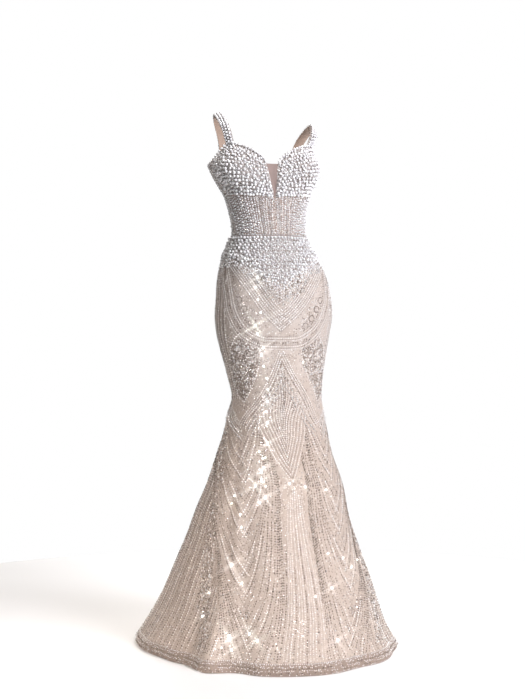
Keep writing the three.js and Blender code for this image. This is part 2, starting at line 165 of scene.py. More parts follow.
class Profile:
    """A smooth curve through the rows of a table, for one of its columns."""

    def __init__(self, rows: Sequence[Sequence[float]], column: int = 1) -> None:
        """Keep the keys, values and slopes of the table.

        Args:
            rows: Table rows in order of their first number.
            column: Which number of a row is the value.
        """
        table = np.asarray(rows, dtype=float)
        self.keys = table[:, 0]
        self.values = table[:, column]
        steps = np.diff(self.keys)
        slopes = np.diff(self.values) / steps
        self.tangents = np.empty(len(table))
        self.tangents[0] = slopes[0]
        self.tangents[-1] = slopes[-1]
        weighted = slopes[:-1] * steps[1:] + slopes[1:] * steps[:-1]
        self.tangents[1:-1] = weighted / (steps[:-1] + steps[1:])

    def __call__(self, at: Floats) -> Floats:
        """Return the value at each key, held at the table's ends."""
        place = np.clip(at, self.keys[0], self.keys[-1])
        i = np.clip(np.searchsorted(self.keys, place, side="right") - 1, 0, len(self.keys) - 2)
        step = self.keys[i + 1] - self.keys[i]
        t = (place - self.keys[i]) / step
        t2 = t * t
        t3 = t2 * t
        return (
            (2 * t3 - 3 * t2 + 1) * self.values[i]
            + (t3 - 2 * t2 + t) * step * self.tangents[i]
            + (3 * t2 - 2 * t3) * self.values[i + 1]
            + (t3 - t2) * step * self.tangents[i + 1]
        )


def lerp(a: Any, b: Any, t: Any) -> Any:
    """Blend from a to b by the share t."""
    return a + (b - a) * t


def turn_between(start: Any, end: Any) -> Any:
    """Return the smallest turn from one angle to another, in degrees."""
    return (end - start + 180) % 360 - 180


def row_frame(points: Floats) -> Floats:
    """Turn gown millimetres into metres of the row frame."""
    return (points - np.array((0, 0, SHOULDER_HEIGHT))) * MM


def unit(vectors: Floats) -> Floats:
    """Return the vectors at length one."""
    return vectors / np.maximum(np.linalg.norm(vectors, axis=-1, keepdims=True), 1e-12)


@dataclass
class GownForm:
    """The outer face of the gown as it is worn, with its folds and creases.

    Attributes:
        cup_angle: Degrees from centre front to the middle of a cup.
        cup_height: Height of the middle of a cup, in mm.
        cup_out: How far a cup stands out, in mm.
        probe: Degrees and mm over which slopes are measured.
    """

    cup_angle: float = 36
    cup_height: float = 1368
    cup_out: float = 27
    cup_spread_angle: float = 24
    cup_spread_down: float = 52
    cup_spread_up: float = 60
    probe: float = 0.5
    columns: dict[str, Profile] = field(init=False)

    def __post_init__(self) -> None:
        """Prepare the tables."""
        names = ("x", "y", "half", "front", "back", "shear", "turn")
        self.columns = {name: Profile(SECTIONS, n + 1) for n, name in enumerate(names)}

    def cup(self, angle: Floats, height: Floats) -> Floats:
        """Return how far the cups stand out, in mm."""
        spread = np.where(height < self.cup_height, self.cup_spread_down, self.cup_spread_up)
        side = (np.abs(turn_between(0, angle)) - self.cup_angle) / self.cup_spread_angle
        rise = (height - self.cup_height) / spread
        return self.cup_out * np.exp(-side * side - rise * rise)

    def folds(self, angle: Floats, height: Floats) -> Floats:
        """Return how far the folds of the flare push the cloth in, in mm."""
        depth = np.zeros(np.broadcast(angle, height).shape)
        for top_angle, hem_angle, spread, deep, top in FOLDS:
            down = np.clip(1 - height / top, 0, 1)
            off = turn_between(lerp(top_angle, hem_angle, down), angle) / spread
            depth = depth + deep * down**FOLD_GROWTH * np.exp(-off * off)
        return depth

    def creases(self, angle: Floats, height: Floats) -> Floats:
        """Return how far the small creases and the cloth's unevenness push it in, in mm."""
        depth = np.zeros(np.broadcast(angle, height).shape)
        for angle0, height0, angle1, height1, spread, deep in CREASES:
            reach = self.columns["half"](np.array((height0 + height1) / 2.0)) * math.pi / 180
            run = np.array((turn_between(angle0, angle1) * reach, height1 - height0))
            away_x = turn_between(angle0, angle) * reach
            away_y = height - height0
            t = np.clip((away_x * run[0] + away_y * run[1]) / (run @ run), 0, 1)
            gap = np.hypot(away_x - t * run[0], away_y - t * run[1]) / spread
            grown = t if abs(run[1]) > abs(run[0]) else np.sin(np.pi * np.clip(t, 0.02, 0.98))
            depth = depth + deep * grown * np.exp(-gap * gap)
        ripple = np.sin(angle * 0.21 + height * 0.031) + 0.7 * np.sin(angle * 0.13 - height * 0.047 + 2.1)
        return depth + 0.35 * ripple + 0.25 * np.sin(angle * 0.39 + height * 0.015 + 0.8)

    def surface(self, angle: Floats, height: Floats) -> Floats:
        """Return points of the outer face in gown millimetres, for angles and heights of one shape."""
        angle, height = np.broadcast_arrays(np.asarray(angle, float), np.asarray(height, float))
        turned = np.radians(angle + self.columns["turn"](height))
        across = np.sin(turned)
        towards = -np.cos(turned)
        front = self.columns["front"](height)
        back = self.columns["back"](height)
        depth = np.where(towards < 0, front, back)
        half = self.columns["half"](height)
        pushed = self.cup(angle, height) - self.folds(angle, height) - self.creases(angle, height)
        out = 1 + pushed / np.minimum(half, depth)
        y = depth * towards * out
        x = half * across * out + self.columns["shear"](height) * y
        return np.stack((self.columns["x"](height) + x, self.columns["y"](height) + y, height), axis=-1)

    def normal(self, angle: Floats, height: Floats) -> Floats:
        """Return the outward normals of the outer face."""
        step = self.probe
        around = self.surface(angle + step, height) - self.surface(angle - step, height)
        up = self.surface(angle, height + step) - self.surface(angle, height - step)
        return unit(np.cross(around, up))

    def raised(self, angle: Floats, height: Floats, distance: Any) -> Floats:
        """Return points at a distance out of the outer face, in gown millimetres."""
        distance = np.asarray(distance, float)
        return self.surface(angle, height) + self.normal(angle, height) * distance[..., None]

    def degrees_for(self, width: float, angle: Floats, height: Floats) -> Floats:
        """Return the angle that makes a width in mm round the gown at each place."""
        step = self.probe
        span = self.surface(angle + step, height) - self.surface(angle - step, height)
        return width * 2 * step / np.linalg.norm(span, axis=-1)


FORM = GownForm()


def fixed(value: float) -> Outline:
    """Return an outline that has the same value everywhere."""
    return lambda at: np.full(np.shape(at), float(value))


def over_angle(rows: Sequence[Sequence[float]]) -> Outline:
    """Return a table as an outline that is the same on both sides of centre front."""
    profile = Profile(rows)
    return lambda angle: profile(np.abs(turn_between(0, np.asarray(angle, float))))


neckline = over_angle(NECKLINE)
underbust = over_angle(UNDERBUST)
yoke_edge = over_angle(YOKE_EDGE)


def insert_edge(rise: Floats) -> Floats:
    """Return the edge of the sheer insert in degrees from centre front, at a share of its height."""
    return lerp(0.9, 5.6, np.asarray(rise, float))


def linear(hex_colour: str) -> tuple[float, float, float, float]:
    """Turn an sRGB hex colour into linear red, green, blue and alpha."""
    channels = [int(hex_colour[i:i + 2], 16) / 255 for i in (1, 3, 5)]
    red, green, blue = (c / 12.92 if c <= 0.04045 else ((c + 0.055) / 1.055) ** 2.4 for c in channels)
    return red, green, blue, 1.0


def add_node(tree: Any, kind: str, inputs: dict[Any, Any] | None = None, **settings: Any) -> Any:
    """Add a node with its settings, values and links.

    Args:
        tree: Node tree that gets the node.
        kind: Blender's name for the node type.
        inputs: Value or output socket for an input, by its name or number.
        settings: Properties of the node.

    Returns:
        The new node.
    """
    node = tree.nodes.new(kind)
    for name, value in settings.items():
        setattr(node, name, value)
    for name, value in (inputs or {}).items():
        socket = node.inputs[name]
        if isinstance(value, bpy.types.NodeSocket):
            tree.links.new(value, socket)
        else:
            socket.default_value = value
    return node


def new_material(name: str) -> tuple[Any, Any]:
    """Return a new material and its cleared node tree."""
    material = bpy.data.materials.new(name)
    material.use_nodes = True
    material.node_tree.nodes.clear()
    return material, material.node_tree


def hip_share(tree: Any, place: Any) -> Any:
    """Return a socket that grows from 0 below the knee to 1 at the hip, by Object height."""
    parts = add_node(tree, "ShaderNodeSeparateXYZ", {"Vector": place.outputs["Object"]})
    share = add_node(
        tree, "ShaderNodeMapRange", {"Value": parts.outputs["Z"], "From Min": -0.96, "From Max": -0.62}
    )
    return share.outputs[0]


def blended(tree: Any, share: Any, first: Any, second: Any) -> Any:
    """Return a socket with a colour between two, each a hex value or a socket."""
    colours = [linear(c) if isinstance(c, str) else c for c in (first, second)]
    # A colour Mix keeps its colour sockets at 6 and 7.
    mixed = add_node(tree, "ShaderNodeMix", {0: share, 6: colours[0], 7: colours[1]}, data_type="RGBA")
    return mixed.outputs[2]


@dataclass(frozen=True)
class NetOverSatin:
    """Nylon net with glitter, embroidered and laid over polyester satin.

    Attributes:
        ground: Colour of the satin seen through the net.
        thread: Colour of the net's threads and glued glitter ground.
        dark: Colour of a fleck of painted shade, drawn as if its glitter faced away from the light.
        fleck: Colour of a fleck that catches the light.
        hip: Colour of the satin at the hips and above, where the cloth looks cooler.
        painted_shade_share: Share of the cells that hold a dark fleck of painted shade.
        fleck_share: Share of the cells that hold a bright fleck.
        mesh_pitch: Spacing of the drawn net in metres; the real net is half as wide, too fine to show.
        fleck_pitch: Spacing in metres of the drawn glitter flecks, which are finer in the real cloth.
    """

    name: str
    ground: str
    thread: str
    dark: str
    fleck: str
    hip: str
    painted_shade_share: float = 0.3
    fleck_share: float = 0.12
    mesh_pitch: float = 0.0028
    fleck_pitch: float = 0.0040
    roughness: float = 0.5

    def build(self) -> Any:
        """Return the material: matt satin, dulled by the net, with bright metal flecks and dark flecks of
        painted shade.
        """
        material, tree = new_material(self.name)
        place = add_node(tree, "ShaderNodeTexCoord")
        cells = add_node(
            tree, "ShaderNodeTexVoronoi",
            {"Vector": place.outputs["Object"], "Scale": 1 / self.fleck_pitch, "Randomness": 0.95},
        )
        lots = add_node(tree, "ShaderNodeSeparateColor", {"Color": cells.outputs["Color"]})
        near = add_node(
            tree, "ShaderNodeMath", {0: cells.outputs["Distance"], 1: 0.42}, operation="LESS_THAN"
        )
        bright = add_node(
            tree, "ShaderNodeMath", {0: lots.outputs["Red"], 1: 1 - self.fleck_share},
            operation="GREATER_THAN",
        )
        fleck = add_node(
            tree, "ShaderNodeMath", {0: bright.outputs[0], 1: near.outputs[0]}, operation="MULTIPLY"
        )
        # Painted shade: a share of the cells is coloured dark, as if their glitter faced away from the
        # light.
        painted_shade_lots = add_node(
            tree, "ShaderNodeMath", {0: lots.outputs["Red"], 1: self.painted_shade_share}, operation="LESS_THAN"
        )
        shaded = add_node(
            tree, "ShaderNodeMath", {0: painted_shade_lots.outputs[0], 1: near.outputs[0]}, operation="MULTIPLY"
        )
        turned = add_node(
            tree, "ShaderNodeMapping",
            {"Vector": place.outputs["UV"], "Rotation": (0, 0, math.radians(45))},
        )
        net = add_node(
            tree, "ShaderNodeTexVoronoi",
            {"Vector": turned.outputs[0], "Scale": 1 / self.mesh_pitch, "Randomness": 0.12},
            feature="DISTANCE_TO_EDGE", voronoi_dimensions="2D",
        )
        thread = add_node(
            tree, "ShaderNodeMapRange",
            {"Value": net.outputs["Distance"], "From Min": 0.04, "From Max": 0.2, "To Min": 1, "To Max": 0},
        )
        clouds = add_node(
            tree, "ShaderNodeTexNoise",
            {"Vector": place.outputs["Object"], "Scale": 22, "Detail": 4, "Roughness": 0.6},
        )
        uneven = add_node(
            tree, "ShaderNodeMapRange",
            {"Value": clouds.outputs[0], "From Min": 0.3, "From Max": 0.7, "To Min": 0.0, "To Max": 0.75},
        )
        share = add_node(
            tree, "ShaderNodeMath", {0: thread.outputs[0], 1: uneven.outputs[0]}, operation="MAXIMUM"
        )
        ground = blended(tree, hip_share(tree, place), self.ground, self.hip)
        cloth = blended(tree, share.outputs[0], ground, self.thread)
        dimmed = blended(tree, shaded.outputs[0], cloth, self.dark)
        colour = blended(tree, fleck.outputs[0], dimmed, self.fleck)
        rough = add_node(
            tree, "ShaderNodeMapRange", {"Value": fleck.outputs[0], "To Min": self.roughness, "To Max": 0.2}
        )
        metal = add_node(
            tree, "ShaderNodeMath", {0: fleck.outputs[0], 1: 0.85}, operation="MULTIPLY"
        )
        height = add_node(
            tree, "ShaderNodeMath",
            {0: thread.outputs[0], 1: lots.outputs["Green"]}, operation="ADD",
        )
        bump = add_node(
            tree, "ShaderNodeBump",
            {"Height": height.outputs[0], "Strength": 0.5, "Distance": 0.0005},
        )
        shader = add_node(
            tree, "ShaderNodeBsdfPrincipled",
            {
                "Base Color": colour, "Roughness": rough.outputs[0], "Metallic": metal.outputs[0],
                "Normal": bump.outputs[0], "Sheen Weight": 0.12, "Sheen Roughness": 0.4,
            },
        )
        add_node(tree, "ShaderNodeOutputMaterial", {"Surface": shader.outputs[0]})
        return material


@dataclass(frozen=True)
class SheerNet:
    """Fine nylon tulle or horsehair braid that lets some light through.

    Attributes:
        opacity: Share of the light that the net stops.
        rib_pitch: Spacing of the drawn ribs across the cloth in metres.
    """

    name: str
    colour: str
    shade: str
    opacity: float
    rib_pitch: float = 0.003
    roughness: float = 0.7

    def build(self) -> Any:
        """Return the material: a matt veil with fine ribs along the cloth's length."""
        material, tree = new_material(self.name)
        place = add_node(tree, "ShaderNodeTexCoord")
        ribs = add_node(
            tree, "ShaderNodeTexWave",
            {"Vector": place.outputs["UV"], "Scale": 0.314 / self.rib_pitch, "Distortion": 1.2,
             "Detail": 2, "Detail Scale": 2},
            bands_direction="X",
        )
        clouds = add_node(
            tree, "ShaderNodeTexNoise", {"Vector": place.outputs["Object"], "Scale": 40, "Detail": 5}
        )
        share = add_node(
            tree, "ShaderNodeMath", {0: ribs.outputs[1], 1: clouds.outputs[0]}, operation="MULTIPLY"
        )
        colour = add_node(
            tree, "ShaderNodeMix",
            {0: share.outputs[0], 6: linear(self.shade), 7: linear(self.colour)}, data_type="RGBA",
        )
        veil = add_node(
            tree, "ShaderNodeMapRange",
            {"Value": share.outputs[0], "To Min": self.opacity, "To Max": min(1.0, self.opacity + 0.12)},
        )
        bump = add_node(
            tree, "ShaderNodeBump", {"Height": ribs.outputs[1], "Strength": 0.3, "Distance": 0.0004}
        )
        shader = add_node(
            tree, "ShaderNodeBsdfPrincipled",
            {"Base Color": colour.outputs[2], "Roughness": self.roughness, "Alpha": veil.outputs[0],
             "Normal": bump.outputs[0], "Sheen Weight": 0.3},
        )
        add_node(tree, "ShaderNodeOutputMaterial", {"Surface": shader.outputs[0]})
        return material


@dataclass(frozen=True)
class Satin:
    """Polyester lining satin: woven, with a soft gloss along its warp."""

    name: str
    colour: str
    shade: str
    thread_pitch: float = 0.002

    def build(self) -> Any:
        """Return the material: smooth cloth with a faint thread line and uneven tone."""
        material, tree = new_material(self.name)
        place = add_node(tree, "ShaderNodeTexCoord")
        threads = add_node(
            tree, "ShaderNodeTexWave",
            {"Vector": place.outputs["UV"], "Scale": 0.314 / self.thread_pitch, "Distortion": 0.6},
            bands_direction="X",
        )
        clouds = add_node(
            tree, "ShaderNodeTexNoise", {"Vector": place.outputs["Object"], "Scale": 14, "Detail": 3}
        )
        colour = add_node(
            tree, "ShaderNodeMix",
            {0: clouds.outputs[0], 6: linear(self.shade), 7: linear(self.colour)}, data_type="RGBA",
        )
        bump = add_node(
            tree, "ShaderNodeBump", {"Height": threads.outputs[1], "Strength": 0.12, "Distance": 0.0003}
        )
        shader = add_node(
            tree, "ShaderNodeBsdfPrincipled",
            {"Base Color": colour.outputs[2], "Roughness": 0.42, "Normal": bump.outputs[0],
             "Sheen Weight": 0.2},
        )
        add_node(tree, "ShaderNodeOutputMaterial", {"Surface": shader.outputs[0]})
        return material


@dataclass(frozen=True)
class BeadFinish:
    """Glass, crystal or pearl beads. Each bead has its own tint between two colours.

    Attributes:
        low: Colour of the darkest bead.
        high: Colour of the palest bead.
        coat: Weight of the clear glaze over the bead.
        hip: Colour of the darkest bead at the hips and above, where the glass is clearer.
        grain: Size in metres of the mottling on a bead, such as facets or nacre.
    """

    name: str
    low: str
    high: str
    hip: str | None = None
    roughness: float = 0.25
    metallic: float = 0.0
    coat: float = 0.4
    ior: float = 1.5
    grain: float = 0.0016

    def build(self) -> Any:
        """Return the material: a glossy bead whose tone changes from one bead to the next."""
        material, tree = new_material(self.name)
        tint = add_node(tree, "ShaderNodeAttribute", attribute_name="tint")
        place = add_node(tree, "ShaderNodeTexCoord")
        mottle = add_node(
            tree, "ShaderNodeTexNoise",
            {"Vector": place.outputs["Object"], "Scale": 1 / self.grain, "Detail": 1},
        )
        share = add_node(
            tree, "ShaderNodeMath",
            {0: mottle.outputs[0], 1: 0.25, 2: tint.outputs["Fac"]},
            operation="MULTIPLY_ADD", use_clamp=True,
        )
        low = blended(tree, hip_share(tree, place), self.low, self.hip) if self.hip else self.low
        colour = blended(tree, share.outputs[0], low, self.high)
        rough = add_node(
            tree, "ShaderNodeMapRange",
            {"Value": mottle.outputs[0], "To Min": self.roughness * 0.7, "To Max": self.roughness * 1.4},
        )
        shader = add_node(
            tree, "ShaderNodeBsdfPrincipled",
            {"Base Color": colour, "Roughness": rough.outputs[0], "Metallic": self.metallic,
             "IOR": self.ior, "Coat Weight": self.coat, "Coat Roughness": 0.08},
        )
        add_node(tree, "ShaderNodeOutputMaterial", {"Surface": shader.outputs[0]})
        return material


@dataclass(frozen=True)
class StudioFloor:
    """Seamless studio floor: matt painted board, pale, with a faint unevenness."""

    name: str = "pale_painted_floor"
    colour: str = "#f4f3f2"
    shade: str = "#ecebea"

    def build(self) -> Any:
        """Return the material: a matt near white."""
        material, tree = new_material(self.name)
        place = add_node(tree, "ShaderNodeTexCoord")
        clouds = add_node(tree, "ShaderNodeTexNoise", {"Vector": place.outputs["Object"], "Scale": 1.5})
        colour = add_node(
            tree, "ShaderNodeMix",
            {0: clouds.outputs[0], 6: linear(self.shade), 7: linear(self.colour)}, data_type="RGBA",
        )
        shader = add_node(
            tree, "ShaderNodeBsdfPrincipled", {"Base Color": colour.outputs[2], "Roughness": 0.9}
        )
        add_node(tree, "ShaderNodeOutputMaterial", {"Surface": shader.outputs[0]})
        return material


# Embroidered net of the skirt: pinkish champagne over satin, which glitters softly in the light; its dark
# flecks are painted shade
SKIRT_NET = NetOverSatin(
    "embroidered_champagne_net", "#c7b6a9", "#b7a699", "#87786d", "#fff8f2", "#d3cac4", 0.15, 0.09,
    roughness=0.42
)
# Net of the cups, yoke and straps: greyer and mostly hidden; its dark ground is partly its own grey and
# partly painted shade for the gaps between the pearls, and its dark flecks are painted shade
PEARL_GROUND_NET = NetOverSatin(
    "grey_pearl_net_with_painted_shade", "#a0928b", "#b7aca6", "#6e6460", "#f4efec", "#a49b97", 0.28, 0.24
)
# Net of the midriff: nude brown with a strong glitter; its dark flecks are painted shade
MIDRIFF_NET = NetOverSatin(
    "nude_glitter_net", "#9c887c", "#b09d92", "#65564d", "#fff4ea", "#9c887c", 0.3, 0.24
)
# Sheer tulle of the centre insert: taupe and matt
INSERT_NET = SheerNet("taupe_sheer_tulle", "#ae978d", "#93807a", 0.86)
# Horsehair braid at the hem: stiff, brownish and slightly open
BRAID = SheerNet("horsehair_hem_braid", "#c9b4a6", "#8a786c", 0.86, rib_pitch=0.004)
# Lining of the skirt and bodice: nude satin with a soft gloss
LINING = Satin("nude_lining_satin", "#bfa999", "#b09a8b")
# Woven polyester tape and coil of the concealed zip
ZIP_TAPE = Satin("woven_zip_tape", "#bda999", "#a99585")
# Imitation pearls: white nacre lacquer on glass, with a soft broad highlight
PEARL = BeadFinish(
    "white_pearl_lacquer", "#dcd8da", "#ffffff", roughness=0.2, coat=0.6, ior=1.6, grain=0.004
)
# Silver-lined glass: clear round beads that flash
SILVER_GLASS = BeadFinish("silver_lined_glass", "#c3bcb8", "#ffffff", roughness=0.2, metallic=0.4, coat=0.4)
# Pale seed beads: glossy, silver-lined champagne glass that draws the lines of the pattern
PALE_SEED = BeadFinish(
    "champagne_seed_glass", "#eee1d6", "#ffffff", "#f1edea", roughness=0.3, metallic=0.0, coat=0.5
)
# Smoked beads: grey-brown glass that reads as dark dots between the pale lines; partly the gown's own smoked
# beads and partly painted shade, where small ones stand for the shadow in the gaps between bead lines
SMOKED_AND_SHADE_GLASS = BeadFinish(
    "smoked_glass_and_painted_shade", "#40352e", "#8a7a6d", "#544b46", roughness=0.24, metallic=0.15, coat=0.4
)
# Sequins: thin faceted metallised film that flashes when it faces the light
SEQUIN_FILM = BeadFinish("silver_sequin_film", "#7d736c", "#fffaf4", roughness=0.16, metallic=0.95, coat=0.0)
# Coil of the concealed zip: small plated metal turns
PLATED_METAL = BeadFinish("plated_zinc_coil", "#b7aca3", "#cfc5bb", roughness=0.25, metallic=1.0, coat=0.0)


class Finishes:
    """The materials, each made once when it is first asked for."""

    def __init__(self) -> None:
        """Start with no materials."""
        self.made: dict[str, Any] = {}

    def get(self, finish: Any) -> Any:
        """Return the material of a finish."""
        if finish.name not in self.made:
            self.made[finish.name] = finish.build()
        return self.made[finish.name]


FINISHES = Finishes()


def new_object(name: str, mesh: Any) -> Any:
    """Put a mesh into the scene as an object at the origin."""
    piece = bpy.data.objects.new(name, mesh)
    bpy.context.scene.collection.objects.link(piece)
    return piece


@dataclass
class Shell:
    """A thin closed wall of cloth between an outer and an inner grid of points.

    Attributes:
        outer: Outer points, rows by columns by 3, in gown millimetres.
        inner: Inner points, of the same shape.
        ring: Whether the last column joins the first.
    """

    outer: Floats
    inner: Floats
    ring: bool = False

    def flat_size(self) -> tuple[float, float]:
        """Return the width and length of the rectangle that the cloth is cut from, in metres."""
        points = np.concatenate((self.outer, self.outer[:, :1]), axis=1) if self.ring else self.outer
        width = np.linalg.norm(np.diff(points, axis=1), axis=-1).sum(axis=1).max()
        length = np.linalg.norm(np.diff(points, axis=0), axis=-1).sum(axis=0).max()
        return float(width) * MM, float(length) * MM

    def faces(self) -> tuple[Floats, Floats]:
        """Return the quads and, for each, whether it lies on the inner side."""
        rows, columns = self.outer.shape[:2]
        size = rows * columns
        grid = np.arange(size).reshape(rows, columns)
        wrapped = np.concatenate((grid, grid[:, :1]), axis=1) if self.ring else grid
        a, b = wrapped[:-1, :-1].ravel(), wrapped[:-1, 1:].ravel()
        c, d = wrapped[1:, 1:].ravel(), wrapped[1:, :-1].ravel()
        front = np.stack((a, b, c, d), axis=1)
        back = np.stack((d, c, b, a), axis=1) + size
        low, high = wrapped[0], wrapped[-1]
        edges = [
            np.stack((low[1:], low[:-1], low[:-1] + size, low[1:] + size), axis=1),
            np.stack((high[:-1], high[1:], high[1:] + size, high[:-1] + size), axis=1),
        ]
        if not self.ring:
            left, right = grid[:, 0], grid[:, -1]
            edges.append(np.stack((left[:-1], left[1:], left[1:] + size, left[:-1] + size), axis=1))
            edges.append(np.stack((right[1:], right[:-1], right[:-1] + size, right[1:] + size), axis=1))
        quads = np.concatenate([front, back, *edges])
        inside = np.zeros(len(quads), dtype=np.int32)
        inside[len(front):len(front) + len(back)] = 1
        return quads, inside

    def cloth_map(self) -> Floats:
        """Return each point's place on the cloth in metres, along its width and its length."""
        across = np.zeros(self.outer.shape[:2])
        across[:, 1:] = np.cumsum(np.linalg.norm(np.diff(self.outer, axis=1), axis=-1), axis=1)
        across -= across[:, -1:] / 2
        along = np.zeros(self.outer.shape[:2])
        along[1:] = np.cumsum(np.linalg.norm(np.diff(self.outer, axis=0), axis=-1), axis=0)
        one = np.stack((across, along), axis=-1).reshape(-1, 2) * MM
        return np.concatenate((one, one))

    def build(self, name: str, outside: Any, inside: Any) -> Any:
        """Make the mesh with its cloth map and its two finishes.

        Args:
            name: Name of the piece.
            outside: Material of the outer side and the edges.
            inside: Material of the inner side.

        Returns:
            The new object.
        """
        points = np.concatenate((self.outer.reshape(-1, 3), self.inner.reshape(-1, 3)))
        quads, lining = self.faces()
        mesh = bpy.data.meshes.new(name)
        mesh.from_pydata(row_frame(points).tolist(), [], quads.tolist())
        mesh.materials.append(outside)
        mesh.materials.append(inside)
        mesh.polygons.foreach_set("material_index", lining)
        mesh.polygons.foreach_set("use_smooth", np.ones(len(quads), dtype=bool))
        layer = mesh.uv_layers.new(name="cloth")
        layer.data.foreach_set("uv", self.cloth_map()[quads.ravel()].ravel())
        mesh.update()
        mesh.set_sharp_from_angle(angle=math.radians(50))
        return new_object(name, mesh)


@dataclass
class Panel:
    """A cut-and-sewn panel of cloth on the gown's form, which stands for one CAD node.

    Attributes:
        node: CAD node that the panel replaces.
        left: Angle of one seam for a share of the height.
        right: Angle of the other seam.
        bottom: Height of the lower edge for an angle.
        top: Height of the upper edge for an angle.
        offset: How far the outer side stands out of the form, in mm.
        pitch: Size of the grid's cells in mm.
    """

    node: str
    left: Outline
    right: Outline
    bottom: Outline
    top: Outline
    net: Any
    slot: str
    held: str = "hung"
    thickness: float = CLOTH - 0.4
    offset: float = -0.2
    pitch: float = 8.0
    lining: Any = LINING

    def place(self, across: Floats, rise: Floats) -> tuple[Floats, Floats]:
        """Return the angle and height at shares of the panel's width and height."""
        half = SEWN_GAP / 2
        left, right = self.left(rise), self.right(rise)
        rough = lerp(left, right, across)
        inset = FORM.degrees_for(half, rough, lerp(self.bottom(rough), self.top(rough), rise))
        angle = lerp(left + inset, right - inset, across)
        return angle, lerp(self.bottom(angle) + half, self.top(angle) - half, rise)

    def span(self) -> tuple[float, float]:
        """Return the panel's widest and tallest reach in mm."""
        shares = np.linspace(0, 1, 25)
        across, rise = np.meshgrid(shares, shares)
        points = FORM.surface(*self.place(across, rise))
        wide = np.linalg.norm(np.diff(points, axis=1), axis=-1).sum(axis=1).max()
        tall = np.linalg.norm(np.diff(points, axis=0), axis=-1).sum(axis=0).max()
        return float(wide), float(tall)

    def build(self) -> Any:
        wide, tall = self.span()
        columns = max(3, round(wide / self.pitch))
        rows = max(3, round(tall / self.pitch))
        across, rise = np.meshgrid(np.linspace(0, 1, columns + 1), np.linspace(0, 1, rows + 1))
        angle, height = self.place(across, rise)
        # The seam allowance pulls the cloth in a little beside each seam.
        beside = np.minimum(across, 1 - across) * wide
        tucked = self.offset - 0.15 * np.exp(-((beside / 1.6) ** 2))
        shell = Shell(
            FORM.raised(angle, height, tucked), FORM.raised(angle, height, tucked - self.thickness)
        )
        piece = shell.build(self.node + "_cloth", FINISHES.get(self.net), FINISHES.get(self.lining))
        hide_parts(self.node)
        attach(piece, "root")
        return piece


class BeadShape(Enum):
    """Solid that a bead is made of, at a size of one."""

    BALL = "ball"
    ROUND = "round"
    SEED = "seed"
    BUGLE = "bugle"
    SEQUIN = "sequin"


@dataclass(frozen=True)
class BeadKind:
    """A kind of bead, with its sizes in mm.

    Attributes:
        label: Plural name, used in the names of pieces.
        length: Size along the line it is sewn on.
        width: Size across the line.
        height: Size out of the cloth.
        lift: How far its middle stands out of the cloth.
        tilt: Largest random lean in degrees.
    """

    label: str
    shape: BeadShape
    finish: BeadFinish
    length: float
    width: float
    height: float
    lift: float
    tilt: float = 6.0
    variation: float = 0.1

    @property
    def reach(self) -> float:
        """Return the clear space that the bead needs round it."""
        return max(self.width, self.length * 0.75)


class Beads(Enum):
    """The kinds of beads on the gown."""

    LARGE_PEARL = BeadKind("large_pearls", BeadShape.BALL, PEARL, 9.2, 9.2, 8.6, 3.0, 4)
    MIDDLE_PEARL = BeadKind("middle_pearls", BeadShape.ROUND, PEARL, 7.2, 7.2, 6.6, 2.4, 4)
    SMALL_PEARL = BeadKind("small_pearls", BeadShape.ROUND, PEARL, 5.2, 5.2, 4.8, 1.8, 4)
    SILVER = BeadKind("silver_beads", BeadShape.ROUND, SILVER_GLASS, 4.4, 4.4, 3.6, 1.5, 14, 0.2)
    PALE = BeadKind("pale_beads", BeadShape.SEED, PALE_SEED, 4.9, 4.9, 3.2, 1.1, 10, 0.16)
    FINE = BeadKind("fine_beads", BeadShape.SEED, PALE_SEED, 3.6, 3.4, 2.2, 0.8, 12, 0.25)
    SMOKE_AND_SHADE = BeadKind("smoked_and_painted_shade_beads", BeadShape.SEED, SMOKED_AND_SHADE_GLASS, 5.2, 4.0, 2.2, 0.8, 12, 0.2)
    SEQUIN = BeadKind("sequins", BeadShape.SEED, SEQUIN_FILM, 3.9, 3.9, 1.2, 0.9, 30, 0.2)
    BRILLIANT = BeadKind("brilliants", BeadShape.SEQUIN, SEQUIN_FILM, 2.9, 2.9, 1.0, 2.0, 1.2, 0.2)


